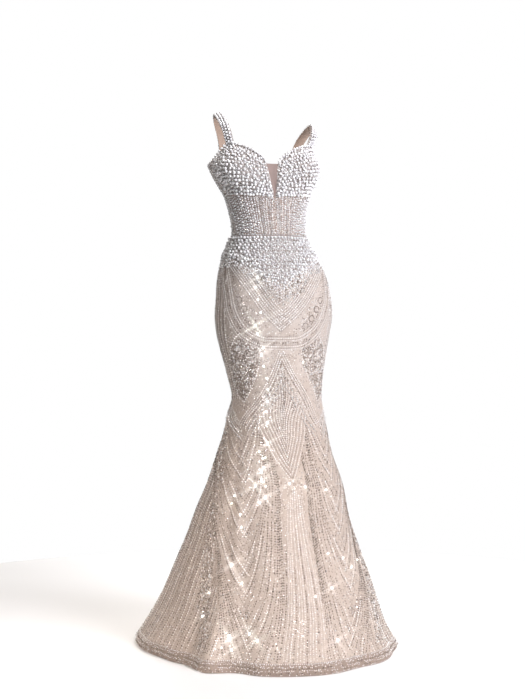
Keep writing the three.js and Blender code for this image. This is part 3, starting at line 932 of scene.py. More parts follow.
class BeadTree:
    """Geometry Nodes tree that sews one kind of bead onto points, each turned to its cloth and line."""

    INPUTS = (
        ("Length", "NodeSocketFloat"), ("Width", "NodeSocketFloat"), ("Height", "NodeSocketFloat"),
        ("Variation", "NodeSocketFloat"), ("Tilt", "NodeSocketFloat"), ("Seed", "NodeSocketInt"),
        ("Finish", "NodeSocketMaterial"),
    )

    def __init__(self, shape: BeadShape) -> None:
        """Build the tree for one shape of bead."""
        self.tree = bpy.data.node_groups.new(f"sew_{shape.value}_beads", "GeometryNodeTree")
        face = self.tree.interface
        face.new_socket("Geometry", in_out="INPUT", socket_type="NodeSocketGeometry")
        self.sockets = {
            name: face.new_socket(name, in_out="INPUT", socket_type=kind).identifier
            for name, kind in self.INPUTS
        }
        face.new_socket("Geometry", in_out="OUTPUT", socket_type="NodeSocketGeometry")
        self.wire(shape)

    def bead(self, shape: BeadShape) -> Any:
        """Return the output socket of the bead's solid at a size of one, with its length along X."""
        tree = self.tree
        if shape is BeadShape.BALL:
            return add_node(
                tree, "GeometryNodeMeshUVSphere", {"Segments": 8, "Rings": 4, "Radius": 0.5}
            ).outputs["Mesh"]
        if shape is BeadShape.ROUND:
            return add_node(
                tree, "GeometryNodeMeshIcoSphere", {"Radius": 0.5, "Subdivisions": 1}
            ).outputs["Mesh"]
        if shape is BeadShape.SEED:
            return add_node(
                tree, "GeometryNodeMeshUVSphere", {"Segments": 4, "Rings": 2, "Radius": 0.5}
            ).outputs["Mesh"]
        sides = 4 if shape is BeadShape.BUGLE else 6
        rod = add_node(
            tree, "GeometryNodeMeshCylinder",
            {"Vertices": sides, "Side Segments": 1, "Radius": 0.5, "Depth": 1.0},
        ).outputs["Mesh"]
        if shape is BeadShape.SEQUIN:
            return rod
        return add_node(
            tree, "GeometryNodeTransform", {"Geometry": rod, "Rotation": (math.pi / 4, math.pi / 2, 0)}
        ).outputs["Geometry"]

    def wire(self, shape: BeadShape) -> None:
        """Link the tree from the points to the finished beads."""
        tree = self.tree
        given = add_node(tree, "NodeGroupInput")
        facing, heading = (
            add_node(tree, "GeometryNodeInputNamedAttribute", {"Name": label}, data_type="FLOAT_VECTOR")
            for label in ("facing", "heading")
        )
        grade = add_node(tree, "GeometryNodeInputNamedAttribute", {"Name": "grade"}, data_type="FLOAT")
        upright = add_node(
            tree, "FunctionNodeAlignRotationToVector", {"Vector": facing.outputs[0]}, axis="Z"
        )
        headed = add_node(
            tree, "FunctionNodeAlignRotationToVector",
            {"Rotation": upright.outputs[0], "Vector": heading.outputs[0]}, axis="X", pivot_axis="Z",
        )
        less = add_node(tree, "ShaderNodeMath", {0: given.outputs["Tilt"], 1: -1.0}, operation="MULTIPLY")
        low = add_node(tree, "ShaderNodeCombineXYZ", {0: less.outputs[0], 1: less.outputs[0]})
        high = add_node(tree, "ShaderNodeCombineXYZ", {0: given.outputs["Tilt"], 1: given.outputs["Tilt"]})
        lean = add_node(
            tree, "FunctionNodeRandomValue",
            {"Min": low.outputs[0], "Max": high.outputs[0], "Seed": given.outputs["Seed"]},
            data_type="FLOAT_VECTOR",
        )
        leaned = add_node(
            tree, "FunctionNodeRotateRotation",
            {"Rotation": headed.outputs[0], "Rotate By": lean.outputs[0]}, rotation_space="LOCAL",
        )
        spread = add_node(
            tree, "ShaderNodeMath", {0: 1.0, 1: given.outputs["Variation"]}, operation="SUBTRACT"
        )
        wide = add_node(tree, "ShaderNodeMath", {0: 1.0, 1: given.outputs["Variation"]}, operation="ADD")
        # The second number of a Random Value node's sockets is its float pair.
        odd = add_node(tree, "FunctionNodeRandomValue", {"Seed": given.outputs["Seed"]}, data_type="FLOAT")
        tree.links.new(spread.outputs[0], odd.inputs[2])
        tree.links.new(wide.outputs[0], odd.inputs[3])
        graded = add_node(
            tree, "ShaderNodeMath", {0: odd.outputs[1], 1: grade.outputs[0]}, operation="MULTIPLY"
        )
        size = add_node(
            tree, "ShaderNodeCombineXYZ",
            {0: given.outputs["Length"], 1: given.outputs["Width"], 2: given.outputs["Height"]},
        )
        sized = add_node(
            tree, "ShaderNodeVectorMath", {0: size.outputs[0], "Scale": graded.outputs[0]},
            operation="SCALE",
        )
        placed = add_node(
            tree, "GeometryNodeInstanceOnPoints",
            {"Points": given.outputs["Geometry"], "Instance": self.bead(shape),
             "Rotation": leaned.outputs[0], "Scale": sized.outputs[0]},
        )
        tint = add_node(tree, "FunctionNodeRandomValue", {"Seed": 7}, data_type="FLOAT")
        tinted = add_node(
            tree, "GeometryNodeStoreNamedAttribute",
            {"Geometry": placed.outputs[0], "Name": "tint"}, data_type="FLOAT", domain="INSTANCE",
        )
        value = next(s for s in tinted.inputs if s.name == "Value" and s.enabled)
        tree.links.new(tint.outputs[1], value)
        real = add_node(tree, "GeometryNodeRealizeInstances", {"Geometry": tinted.outputs[0]})
        smooth = add_node(
            tree, "GeometryNodeSetShadeSmooth",
            {"Geometry": real.outputs[0], "Shade Smooth": shape in (BeadShape.BALL, BeadShape.ROUND)},
        )
        dressed = add_node(
            tree, "GeometryNodeSetMaterial",
            {"Geometry": smooth.outputs[0], "Material": given.outputs["Finish"]},
        )
        add_node(tree, "NodeGroupOutput", {0: dressed.outputs[0]})


class BeadSewer:
    """Collects places for beads and sews them on, one mesh for each kind of bead on each panel."""

    def __init__(self) -> None:
        """Start with no trees."""
        self.trees: dict[BeadShape, BeadTree] = {}
        self.total = 0

    def sew(self, name: str, kind: BeadKind, points: Floats, facing: Floats, heading: Floats,
            grade: Floats, slot: str) -> Any:
        """Sew beads of one kind onto points.

        Args:
            name: Name of the piece.
            kind: Kind of bead.
            points: Places of the beads' middles, in gown millimetres.
            facing: Direction out of the cloth at each bead.
            heading: Direction of each bead's length.
            grade: Relative size of each bead.
            slot: Not used.

        Returns:
            The finished piece.
        """
        if kind.shape not in self.trees:
            self.trees[kind.shape] = BeadTree(kind.shape)
        tree = self.trees[kind.shape]
        mesh = bpy.data.meshes.new(name + "_places")
        mesh.from_pydata(row_frame(points).tolist(), [], [])
        for label, values in (("facing", facing), ("heading", heading)):
            layer = mesh.attributes.new(label, "FLOAT_VECTOR", "POINT")
            layer.data.foreach_set("vector", values.astype(np.float32).ravel())
        layer = mesh.attributes.new("grade", "FLOAT", "POINT")
        layer.data.foreach_set("value", grade.astype(np.float32))
        piece = new_object(name, mesh)
        modifier = piece.modifiers.new("sewing", "NODES")
        modifier.node_group = tree.tree
        values = {
            "Length": kind.length * MM, "Width": kind.width * MM, "Height": kind.height * MM,
            "Variation": kind.variation, "Tilt": math.radians(kind.tilt), "Seed": len(points) % 997,
            "Finish": FINISHES.get(kind.finish),
        }
        for label, value in values.items():
            modifier[tree.sockets[label]] = value
        ready = bpy.context.evaluated_depsgraph_get()
        beads = bpy.data.meshes.new_from_object(piece.evaluated_get(ready), depsgraph=ready)
        piece.modifiers.clear()
        piece.data = beads
        bpy.data.meshes.remove(mesh)
        for label in ("facing", "heading", "grade"):
            if label in beads.attributes:
                beads.attributes.remove(beads.attributes[label])
        beads.name = name
        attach(piece, "root")
        beads.calc_loop_triangles()
        self.total += len(beads.loop_triangles)
        log.info("%s: %d beads, %d triangles", name, len(points), len(beads.loop_triangles))
        return piece


SEWER = BeadSewer()
# Place near the camera and place of the lamp of the glints, in metres; the brilliants face between them
EYE_PLACE = (-0.864, -3.700, -0.566)
GLINT_PLACE = (-2.12, -3.27, 0.25)


class BeadPlan:
    """Beads laid out on the form by angle and height, kept apart, then sewn on panel by panel."""

    def __init__(self, offset: float = 0.0, crowding: float = 0.8) -> None:
        """Start an empty plan.

        Args:
            offset: How far the cloth under the beads stands out of the form, in mm.
            crowding: Share of a bead's reach that must stay clear of other beads.
        """
        self.offset = offset
        self.crowding = crowding
        self.cells: dict[tuple[int, int, int], list[tuple[float, float, float, float]]] = {}
        self.placed: list[tuple[Beads, float, float, Floats, float]] = []

    def is_clear(self, point: Floats, reach: float) -> bool:
        """Return whether a place is clear of all beads laid before."""
        size = 6.0
        cell = tuple(int(math.floor(c / size)) for c in point)
        for i in (-1, 0, 1):
            for j in (-1, 0, 1):
                for k in (-1, 0, 1):
                    for x, y, z, other in self.cells.get((cell[0] + i, cell[1] + j, cell[2] + k), ()):
                        gap = (reach + other) * 0.5 * self.crowding
                        if (x - point[0]) ** 2 + (y - point[1]) ** 2 + (z - point[2]) ** 2 < gap * gap:
                            return False
        self.cells.setdefault(cell, []).append((*map(float, point), reach))
        return True

    def lay(self, kind: Beads, angle: Floats, height: Floats, heading: Floats | None = None,
            grade: Any = 1.0) -> int:
        """Lay beads of one kind where there is room.

        Args:
            kind: Kind of bead.
            angle: Angles of the beads.
            height: Heights of the beads.
            heading: Directions of their lengths, or None for straight up.
            grade: Relative size, one for all or one for each.

        Returns:
            How many found room.
        """
        angle = np.atleast_1d(np.asarray(angle, float))
        height = np.atleast_1d(np.asarray(height, float))
        if not len(angle):
            return 0
        points = FORM.surface(angle, height)
        grades = np.broadcast_to(np.asarray(grade, float), angle.shape)
        if heading is None:
            heading = np.tile((0.0, 0.0, 1.0), (len(angle), 1))
        reach = kind.value.reach
        count = 0
        for n in range(len(angle)):
            if self.is_clear(points[n], reach * float(grades[n])):
                self.placed.append((kind, float(angle[n]), float(height[n]), heading[n], float(grades[n])))
                count += 1
        return count

    def sew(self, panels: dict[str, tuple[float, float]], slot: str) -> list[Any]:
        """Sew all beads on, sorted by panel and kind.

        Args:
            panels: For each panel its lowest and highest angle, from -180 to 180.
            slot: Not used; it is only passed on to the sewer, which ignores it.

        Returns:
            The finished pieces.
        """
        pieces = []
        for name, (low, high) in panels.items():
            for kind in Beads:
                chosen = [
                    row for row in self.placed
                    if row[0] is kind and low <= (row[1] + 180) % 360 - 180 < high
                ]
                if not chosen:
                    continue
                angle = np.array([row[1] for row in chosen])
                height = np.array([row[2] for row in chosen])
                heading = np.array([row[3] for row in chosen])
                grade = np.array([row[4] for row in chosen])
                facing = FORM.normal(angle, height)
                lift = self.offset + kind.value.lift * grade
                points = FORM.surface(angle, height) + facing * lift[:, None]
                if kind is Beads.BRILLIANT:
                    places = row_frame(points)
                    facing = unit(unit(np.array(EYE_PLACE) - places) + unit(np.array(GLINT_PLACE) - places))
                label = f"{name}_{kind.value.label}"
                pieces.append(SEWER.sew(label, kind.value, points, facing, heading, grade, slot))
        return pieces


def resampled(
    angle: Floats, height: Floats, pitch: float, start: float = 0.0
) -> tuple[Floats, Floats, Floats]:
    """Space places evenly along a line on the form.

    Args:
        angle: Angles of a fine polyline.
        height: Heights of the polyline.
        pitch: Spacing in mm.
        start: Distance of the first place from the line's beginning.

    Returns:
        Angles, heights and headings of the places.
    """
    angle = np.unwrap(np.asarray(angle, float), period=360)
    points = FORM.surface(angle, height)
    travelled = np.concatenate(((0.0,), np.cumsum(np.linalg.norm(np.diff(points, axis=0), axis=1))))
    stops = np.arange(start, travelled[-1], pitch)
    if not len(stops):
        return np.zeros(0), np.zeros(0), np.zeros((0, 3))
    angles = np.interp(stops, travelled, angle)
    heights = np.interp(stops, travelled, height)
    ahead = np.stack([np.interp(stops + 2, travelled, points[:, n]) for n in range(3)], axis=1)
    behind = np.stack([np.interp(stops - 2, travelled, points[:, n]) for n in range(3)], axis=1)
    return angles, heights, unit(ahead - behind)


class Face:
    """Distances round the front or the back of the gown, from that face's centre line."""

    def __init__(self, centre: float, drift: Sequence[tuple[float, float]]) -> None:
        """Measure the face.

        Args:
            centre: Angle of the face's centre line.
            drift: Height and sideways shift in mm of the pattern's own centre line.
        """
        self.centre = centre
        self.drift = Profile(drift)
        self.heights = np.arange(0.0, 1192.0, 8.0)
        self.reach = 720.0
        self.step = 4.0
        offsets = np.linspace(-110, 110, 441)
        stops = np.arange(-self.reach, self.reach + 1, self.step)
        rows = []
        for height in self.heights:
            points = FORM.surface(centre + offsets, np.full(offsets.shape, height))
            travelled = np.concatenate(((0.0,), np.cumsum(np.linalg.norm(np.diff(points, axis=0), axis=1))))
            travelled -= np.interp(0, offsets, travelled)
            rows.append(np.interp(stops, travelled, offsets))
        self.table = np.array(rows)

    def angle(self, distance: Floats, height: Floats) -> Floats:
        """Return the angle at a distance in mm from the pattern's centre line."""
        height = np.asarray(height, float)
        distance = np.asarray(distance, float) + self.drift(height)
        row = np.clip(height / 8.0, 0, len(self.heights) - 1.001)
        column = np.clip((distance + self.reach) / self.step, 0, self.table.shape[1] - 1.001)
        i, j = row.astype(int), column.astype(int)
        a, b = row - i, column - j
        table = self.table
        low = table[i, j] * (1 - b) + table[i, j + 1] * b
        high = table[i + 1, j] * (1 - b) + table[i + 1, j + 1] * b
        return self.centre + low * (1 - a) + high * a


def curve(points: Sequence[tuple[float, float]], samples: int = 160) -> Floats:
    """Return a fine smooth curve through points in a plane."""
    table = np.asarray(points, float)
    if len(table) == 2:
        t = np.linspace(0, 1, samples)[:, None]
        return lerp(table[0], table[1], t)
    chord = np.concatenate(((0.0,), np.cumsum(np.linalg.norm(np.diff(table, axis=0), axis=1))))
    rows = np.column_stack((chord, table))
    stops = np.linspace(0, chord[-1], samples)
    return np.column_stack((Profile(rows, 1)(stops), Profile(rows, 2)(stops)))


def beside(line: Floats, distance: float) -> Floats:
    """Return a line shifted sideways, to its left where the distance is positive."""
    slope = np.gradient(line, axis=0)
    slope = slope / np.maximum(np.linalg.norm(slope, axis=1, keepdims=True), 1e-9)
    return line + np.column_stack((-slope[:, 1], slope[:, 0])) * distance


@dataclass(frozen=True)
class Stitchline:
    """How one line of beads is sewn.

    Attributes:
        kind: Kind of bead.
        pitch: Spacing in mm.
        start: Distance of the first bead from the line's beginning, in mm.
        grade: Relative size of the beads.
        gaps: Share of the places left empty, so that the line looks broken.
    """

    kind: Beads
    pitch: float
    start: float = 0.0
    grade: float = 1.0
    gaps: float = 0.0


PALE_LINE = Stitchline(Beads.PALE, 7.4)
WHITE_LINE = Stitchline(Beads.SILVER, 7.6, 1.0, 1.1)
FINE_LINE = Stitchline(Beads.FINE, 5.8)
SMOKE_LINE = Stitchline(Beads.SMOKE_AND_SHADE, 7.4, 2.0, gaps=0.16)
SLIM_PALE_LINE = Stitchline(Beads.PALE, 6.4, 0.0, 0.86)
# Painted shade: small smoked beads, with gaps, laid between two pale lines to stand for the shadow in the
# gap between them
SHADE_LINE = Stitchline(Beads.SMOKE_AND_SHADE, 5.6, 2.0, 0.58)


class SkirtPattern:
    """Bead pattern of one face of the skirt: bands at the hip and thigh, a shield, nested points.

    All lines are given for one side, as distances in mm from the pattern's centre line and heights,
    and are sewn on both sides.
    """

    COLUMNS = ((0, 148), (46, 151), (122, 163), (170, 164), (270, 155), (400, 146), (508, 138), (646, 128))
    VERTICES = (604, 566, 524, 478, 430, 382, 332, 278, 230, 182, 122, 82, 46, 8, -32, -74, -118, -164)
    HIP = ((160, 1100), (112, 1036), (56, 961), (0, 908))
    THIGH = ((186, 1096), (176, 1030), (157, 955), (114, 895), (62, 866), (0, 861))
    KNEE = ((6, 848), (36, 782), (84, 706), (128, 646))
    KNEE_RISE = ((128, 646), (158, 676), (192, 712))
    SHIELD_TOP = (80.0, 700.0)
    SHIELD_LOW = (0.0, 482.0)

    def __init__(self, plan: BeadPlan, face: Face, chance: Any) -> None:
        """Prepare the pattern.

        Args:
            plan: Plan that gets the beads.
            face: Front or back of the gown.
            chance: Seeded generator for the scattered fills.
        """
        self.plan = plan
        self.face = face
        self.chance = chance
        self.column = Profile(self.COLUMNS)
        self.knee = curve(self.KNEE)
        self.shield = self.shield_line(0)

    def on_face(self, side: int, line: Floats) -> tuple[Floats, Floats, Floats]:
        """Return angles, heights and a mask of the places that lie on the skirt and this face."""
        height = line[:, 1]
        angle = self.face.angle(side * line[:, 0], height)
        away = np.abs(angle - self.face.centre)
        inside = (away <= 90) & (height > BRAID_WIDTH + 2) & (height < yoke_edge(angle) - 3)
        return angle, height, inside

    def line(self, line: Floats, stitch: Stitchline, sides: Sequence[int] = (1, -1),
             keep: Callable[[Floats], Floats] | None = None) -> None:
        """Sew a line of beads on both sides, in the runs that lie on this face.

        Args:
            line: Distances and heights of a fine polyline.
            stitch: How it is sewn.
            sides: Which sides get the line.
            keep: Says for each place of the line whether it is sewn.
        """
        for side in sides:
            angle, height, inside = self.on_face(side, line)
            if keep is not None:
                inside = inside & keep(line)
            marks = np.flatnonzero(np.diff(np.concatenate(((0,), inside.astype(int), (0,)))))
            for first, last in marks.reshape(-1, 2):
                if last - first < 3:
                    continue
                self.stitch_along(angle[first:last], height[first:last], stitch)

    def stitch_along(self, angle: Floats, height: Floats, stitch: Stitchline) -> None:
        """Sew beads along one run, a little uneven in size and with the line's gaps."""
        places = resampled(angle, height, stitch.pitch, stitch.start)
        kept = self.chance.random(len(places[0])) >= stitch.gaps
        grade = stitch.grade * self.chance.uniform(0.78, 1.08, kept.sum())
        self.plan.lay(stitch.kind, places[0][kept], places[1][kept], places[2][kept], grade)

    def fill(self, left: Sequence[tuple[float, float]], right: Sequence[tuple[float, float]],
             pitch: float, mixture: Sequence[tuple[Beads, float]], sides: Sequence[int] = (1, -1),
             share: float = 1.0) -> None:
        """Fill the space between two edges with scattered beads.

        Args:
            left: Edge nearer the centre, as distances over falling heights.
            right: Edge further out.
            pitch: Spacing of the scatter in mm.
            mixture: Kinds of bead and how often each comes.
            sides: Which sides are filled.
            share: Share of the places that get a bead.
        """
        near = np.asarray(sorted(left, key=lambda p: p[1]), float)
        far = np.asarray(sorted(right, key=lambda p: p[1]), float)
        low = max(near[0, 1], far[0, 1])
        high = min(near[-1, 1], far[-1, 1])
        kinds = [kind for kind, _ in mixture]
        odds = np.array([odd for _, odd in mixture])
        edges = np.cumsum(odds / odds.sum())
        for side in sides:
            for n, height in enumerate(np.arange(low, high, pitch * 0.87)):
                start = np.interp(height, near[:, 1], near[:, 0])
                end = np.interp(height, far[:, 1], far[:, 0])
                places = np.arange(start + (n % 2) * pitch / 2, end, pitch)
                if not len(places):
                    continue
                jitter = self.chance.uniform(-0.3, 0.3, (2, len(places))) * pitch
                taken = self.chance.random(len(places)) < share
                lots = self.chance.random(len(places))
                spots = np.column_stack((places + jitter[0], height + jitter[1]))
                angle, level, inside = self.on_face(side, spots)
                turn = self.chance.uniform(0, math.pi, len(places))
                heading = np.column_stack((np.cos(turn), np.zeros(len(places)), np.sin(turn)))
                which = np.searchsorted(edges, lots)
                for m, kind in enumerate(kinds):
                    chosen = inside & taken & (which == m)
                    self.plan.lay(kind, angle[chosen], level[chosen], heading[chosen], 0.9)

    def ring(self, distance: float, height: float, radius: float, stitch: Stitchline) -> None:
        """Sew a small ring of beads on both sides."""
        t = np.linspace(0, 2 * math.pi, 60)
        line = np.column_stack((distance + radius * np.cos(t), height + radius * np.sin(t)))
        self.line(line, stitch)

    def shield_line(self, step: float) -> Floats:
        """Return one of the nested lines that run from the knee band down to the centre."""
        start = np.array(self.SHIELD_TOP) + np.array((-9.0, 13.0)) * step
        end = np.array(self.SHIELD_LOW) + np.array((0.0, 17.0)) * step
        bend = np.array((start[0] * 0.8, lerp(end[1], start[1], 0.46)))
        t = np.linspace(0, 1, 160)[:, None]
        return (1 - t) ** 2 * start + 2 * t * (1 - t) * bend + t * t * end

    def hip_band(self) -> None:
        """Sew the pointed band over the hips and the fan lines that drop into it from the yoke."""
        base = curve(self.HIP)
        for n in range(7):
            self.line(beside(base, -7.0 * n), FINE_LINE if n % 3 else SLIM_PALE_LINE)
            self.line(beside(base, -7.0 * n + 3.5), SHADE_LINE)
        inner = beside(base, -52)
        for n in range(14):
            top = 4.0 + 8.6 * n
            foot = top * 0.62
            drop = float(np.interp(foot, inner[::-1, 0], inner[::-1, 1]))
            line = curve(((top, 1120), (lerp(top, foot, 0.45), lerp(1120, drop, 0.5)), (foot, drop + 4)))
            self.line(line, (PALE_LINE, SMOKE_LINE, FINE_LINE)[n % 3])

    def thigh_band(self) -> None:
        """Sew the rounded band at the thighs, with dark dots inside it and rings above it."""
        base = curve(self.THIGH)
        for distance, stitch in (
            (7, FINE_LINE), (3.5, SHADE_LINE), (0, SLIM_PALE_LINE), (-5, SHADE_LINE), (-11, SMOKE_LINE),
            (-17, FINE_LINE), (-20.5, SHADE_LINE), (-24, SLIM_PALE_LINE), (-29, SHADE_LINE),
        ):
            self.line(beside(base, distance), stitch)
        self.line(beside(base, -36), SMOKE_LINE, keep=lambda line: line[:, 0] > 60)
        for distance, height in ((126, 996), (110, 970), (94, 943), (75, 921)):
            self.ring(distance, height, 8.8, Stitchline(Beads.SMOKE_AND_SHADE, 4.8))
        scatter = ((Beads.SEQUIN, 0.2), (Beads.SMOKE_AND_SHADE, 0.2), (Beads.FINE, 0.6))
        near = ((30, 894), (52, 925), (88, 985))
        self.fill(near, ((84, 894), (108, 925), (128, 985)), 7.0, scatter, share=0.5)

    def hip_sides(self) -> None:
        """Sew upright lines down the sides of the hips."""
        for n, distance in enumerate(np.arange(168, 250, 7.4)):
            lean = (distance - 168) * 0.16
            line = curve((
                (distance - 8, 1124), (distance + 5, 1000), (distance + 2, 900),
                (distance - 10 - lean, 810), (distance - 16 - lean, 710),
            ))
            self.line(line, (PALE_LINE, SMOKE_LINE, FINE_LINE, SMOKE_LINE)[n % 4])

    def teardrops(self) -> None:
        """Sew the densely filled drops beside the thighs."""
        inner = ((74, 884), (62, 852), (66, 812), (80, 774), (98, 740), (120, 704))
        outer = ((126, 896), (148, 868), (162, 820), (164, 768), (150, 726), (126, 704))
        rough = ((Beads.SEQUIN, 0.12), (Beads.PALE, 0.2), (Beads.SMOKE_AND_SHADE, 0.5), (Beads.SILVER, 0.18))
        self.line(curve(inner), PALE_LINE)
        self.line(curve(outer), PALE_LINE)
        self.fill(inner, outer, 5.0, rough, share=0.98)
        self.line(beside(curve(inner), 7), SMOKE_LINE)

    def knee_band(self) -> None:
        """Sew the crossing lines that come to a point beside each knee."""
        rise = curve(self.KNEE_RISE)
        stitches = (
            (0, SLIM_PALE_LINE), (3.8, SHADE_LINE), (7.5, FINE_LINE), (11.5, SHADE_LINE),
            (15, SLIM_PALE_LINE), (21, SMOKE_LINE), (27, FINE_LINE), (38, WHITE_LINE), (52, WHITE_LINE),
        )
        for distance, stitch in stitches:
            down = self.knee + np.array((-0.55, -0.8)) * distance
            up = rise + np.array((0.0, -1.0)) * distance * 0.97
            floor = self.KNEE[-1][0] - distance * 0.55
            self.line(down, stitch, keep=lambda line: line[:, 0] > -1)
            self.line(up, stitch, keep=lambda line, floor=floor: line[:, 0] > floor)

    def shield_fill(self) -> None:
        """Sew the nested shield and its dense, zigzag middle."""
        for step in range(10):
            self.line(self.shield_line(step), SLIM_PALE_LINE if step % 2 == 0 else FINE_LINE)
            self.line(self.shield_line(step + 0.5), SHADE_LINE)
        rough = ((Beads.SEQUIN, 0.14), (Beads.SILVER, 0.16), (Beads.SMOKE_AND_SHADE, 0.5), (Beads.PALE, 0.2))
        near = ((-1, 800), (-1, 700), (-1, 560))
        far = ((4, 800), (29, 730), (36, 690), (30, 630), (5, 560))
        for height in (770, 728, 690, 650, 612, 580):
            wide = float(np.interp(height, (560, 630, 690, 730, 800), (4, 25, 30, 24, 3)))
            self.line(curve(((0, height + 14), (wide + 6, height - 14))), PALE_LINE)
        self.fill(near, far, 5.0, rough, share=0.95)

    def arm(self, vertex: float, sign: int) -> Floats:
        """Return one arm of a nested point: up from its vertex, inwards (-1) or outwards (1)."""
        rise = np.linspace(0, 620, 320)
        away = 84 * (1 - np.exp(-rise / 115)) + 0.04 * rise
        return np.column_stack((self.column(np.array(vertex, float)) + sign * away, vertex + rise))

    def centre_width(self, height: Floats) -> Floats:
        """Return half the width of the plain stripes down the centre."""
        return 18 + np.maximum(0, 480 - height) * 0.11

    def below_knee(self, line: Floats) -> Floats:
        """Return which places lie under the knee band and the shield, clear of the centre stripes."""
        distance, height = line[:, 0], line[:, 1]
        tip = self.KNEE[-1][0]
        shield = np.interp(distance, self.shield[::-1, 0], self.shield[::-1, 1])
        knee = np.interp(distance, self.knee[:, 0], self.knee[:, 1]) - 56
        rise = np.interp(distance, (tip, 158, 192, 700), (646, 676, 712, 740)) - 62
        beside_shield = np.where(distance < tip, knee - 10, rise)
        roof = np.where(distance < self.SHIELD_TOP[0], shield - 8, beside_shield)
        return (height < roof) & (distance > self.centre_width(height) + 3)

    def nested_points(self) -> None:
        """Sew the nested points that run down to the hem on either side of the centre."""
        rough = ((Beads.SEQUIN, 0.4), (Beads.SILVER, 0.2), (Beads.SMOKE_AND_SHADE, 0.4))
        gaps = -np.diff(self.VERTICES, append=self.VERTICES[-1] - 30)
        for n, vertex in enumerate(self.VERTICES):
            rise = self.arm(vertex, 1)[:, 1] - vertex
            slope = 84 / 115 * np.exp(-rise / 115) + 0.04
            # Clear space between this arm and the next one above it.
            room = gaps[max(n - 1, 0)] * slope / np.sqrt(1 + slope * slope)
            stitches = (
                (SMOKE_LINE, PALE_LINE, None, None, FINE_LINE),
                (SMOKE_LINE, None, None, SHADE_LINE, None),
                (SMOKE_LINE, SHADE_LINE, PALE_LINE, None, None),
            )[n % 3]
            for sign in (-1, 1):
                arm = self.arm(vertex, sign)
                for step, stitch in enumerate(stitches):
                    distance = 5.8 * step
                    short = np.count_nonzero(room > distance + 4.5) if step else len(arm)
                    if short > 8 and stitch is not None:
                        self.line(beside(arm, sign * distance)[:short], stitch, keep=self.below_knee)
            if n % 4 == 2:
                middle = float(self.column(np.array(vertex, float)))
                near = ((middle - 12, vertex + 30), (middle - 1, vertex + 4))
                far = ((middle + 12, vertex + 30), (middle + 1, vertex + 4))
                self.fill(near, far, 5.2, rough)

    def centre_stripes(self) -> None:
        """Sew the stripes that fan out down the centre."""
        for n in range(-7, 8):
            top = 285 + 45 * math.sin(2.3 * n) if n % 2 else 468 - 6 * abs(n)
            height = np.linspace(top, BRAID_WIDTH, 200)
            line = np.column_stack((self.centre_width(height) * n / 7.4, height))
            self.line(line, (PALE_LINE, SMOKE_LINE, FINE_LINE, FINE_LINE)[n % 4], sides=(1,))

    def side_fans(self) -> None:
        """Sew the stripes that fan out at the sides, with shorter ones between them low down."""
        for side in (1, -1):
            for n in range(50):
                away = 26.0 + 2.9 * (n // 2) + (0.9 if n % 2 else 0.0) + 0.35 * math.sin(1.7 * (n // 2))
                top = 620 - 30 * (n // 2 % 4) - 20 * (n % 2)
                height = np.linspace(top, BRAID_WIDTH, 260)
                angle = self.face.centre + side * np.full(height.shape, away)
                stitch = SMOKE_LINE if n % 2 else (PALE_LINE, SHADE_LINE, FINE_LINE)[n // 2 % 3]
                self.stripe(side, angle, height, stitch)

    def stripe(self, side: int, angle: Floats, height: Floats, stitch: Stitchline) -> None:
        """Sew one stripe of a side fan, clear of the nested points.

        Args:
            side: Side of the face.
            angle: Angles of the stripe.
            height: Heights of the stripe.
            stitch: How it is sewn.
        """
        away = np.abs(angle - self.face.centre)
        # Width of the nested points in degrees, measured along their outermost arm.
        arm = self.arm(self.VERTICES[-1], 1)
        reach = np.abs(self.face.angle(side * (arm[:, 0] + 7), arm[:, 1]) - self.face.centre)
        edge = np.interp(height, arm[:, 1], reach)
        roof = np.interp(away, (40, 70, 76, 90), (560, 560, 572, 610))
        inside = (away > edge) & (height < roof) & (away <= 90)
        marks = np.flatnonzero(np.diff(np.concatenate(((0,), inside.astype(int), (0,)))))
        for first, last in marks.reshape(-1, 2):
            if last - first > 3:
                self.stitch_along(angle[first:last], height[first:last], stitch)

    def streaks(self) -> None:
        """Fill dense dark streaks low down on the sides."""
        rough = ((Beads.SEQUIN, 0.2), (Beads.SMOKE_AND_SHADE, 0.46), (Beads.SILVER, 0.14), (Beads.PALE, 0.2))
        near = ((182, 640), (214, 480), (234, 398), (256, 292), (280, 164), (262, 46))
        far = ((212, 640), (240, 480), (262, 398), (292, 292), (330, 164), (322, 46))
        self.fill(near, far, 5.6, rough, share=0.7)

    def glitter(self) -> None:
        """Scatter loose sequins and fine beads wherever the pattern leaves room."""
        loose = ((Beads.SEQUIN, 0.16), (Beads.FINE, 0.84))
        inner = ((0, BRAID_WIDTH), (0, 1120))
        outer = ((620, BRAID_WIDTH), (470, 200), (320, 400), (240, 620), (240, 1120))
        self.fill(inner, outer, 8.5, loose, share=0.34)

    def brilliants(self) -> None:
        """Sew a few loose brilliants, most of them down the side of the front that the light strikes."""
        struck = (*range(430, 620, 16), *range(640, 1090, 32))
        rows = [(self.chance.normal(-23, 2.4), height) for height in struck]
        rows += [(self.chance.uniform(-50, 55), self.chance.uniform(45, 520)) for _ in range(26)]
        angle, height = np.array(rows).T
        self.plan.lay(Beads.BRILLIANT, angle, height + self.chance.uniform(-9, 9, len(height)))

    def sew(self) -> None:
        """Sew the whole face, outlines first."""
        if self.face.centre == 0:
            self.brilliants()
        self.knee_band()
        self.hip_band()
        self.thigh_band()
        self.shield_fill()
        self.streaks()
        self.nested_points()
        self.teardrops()
        self.hip_sides()
        self.centre_stripes()
        self.side_fans()
        self.glitter()


def mirrored(spans: dict[str, tuple[float, float]]) -> dict[str, tuple[float, float]]:
    """Add each left span's mirror on the wearer's right."""
    both = {}
    for name, (low, high) in spans.items():
        both[name + "_left"] = (low, high)
        both[name + "_right"] = (-high, -low)
    return both


def sided_panel(side: int, node: str, start: Outline, end: Outline, **options: Any) -> Panel:
    """Return a panel for one side, from outlines that are given for the wearer's left."""
    label = "left" if side > 0 else "right"
    if side > 0:
        return Panel(f"{node}_{label}", start, end, **options)
    return Panel(f"{node}_{label}", lambda rise: -end(rise), lambda rise: -start(rise), **options)


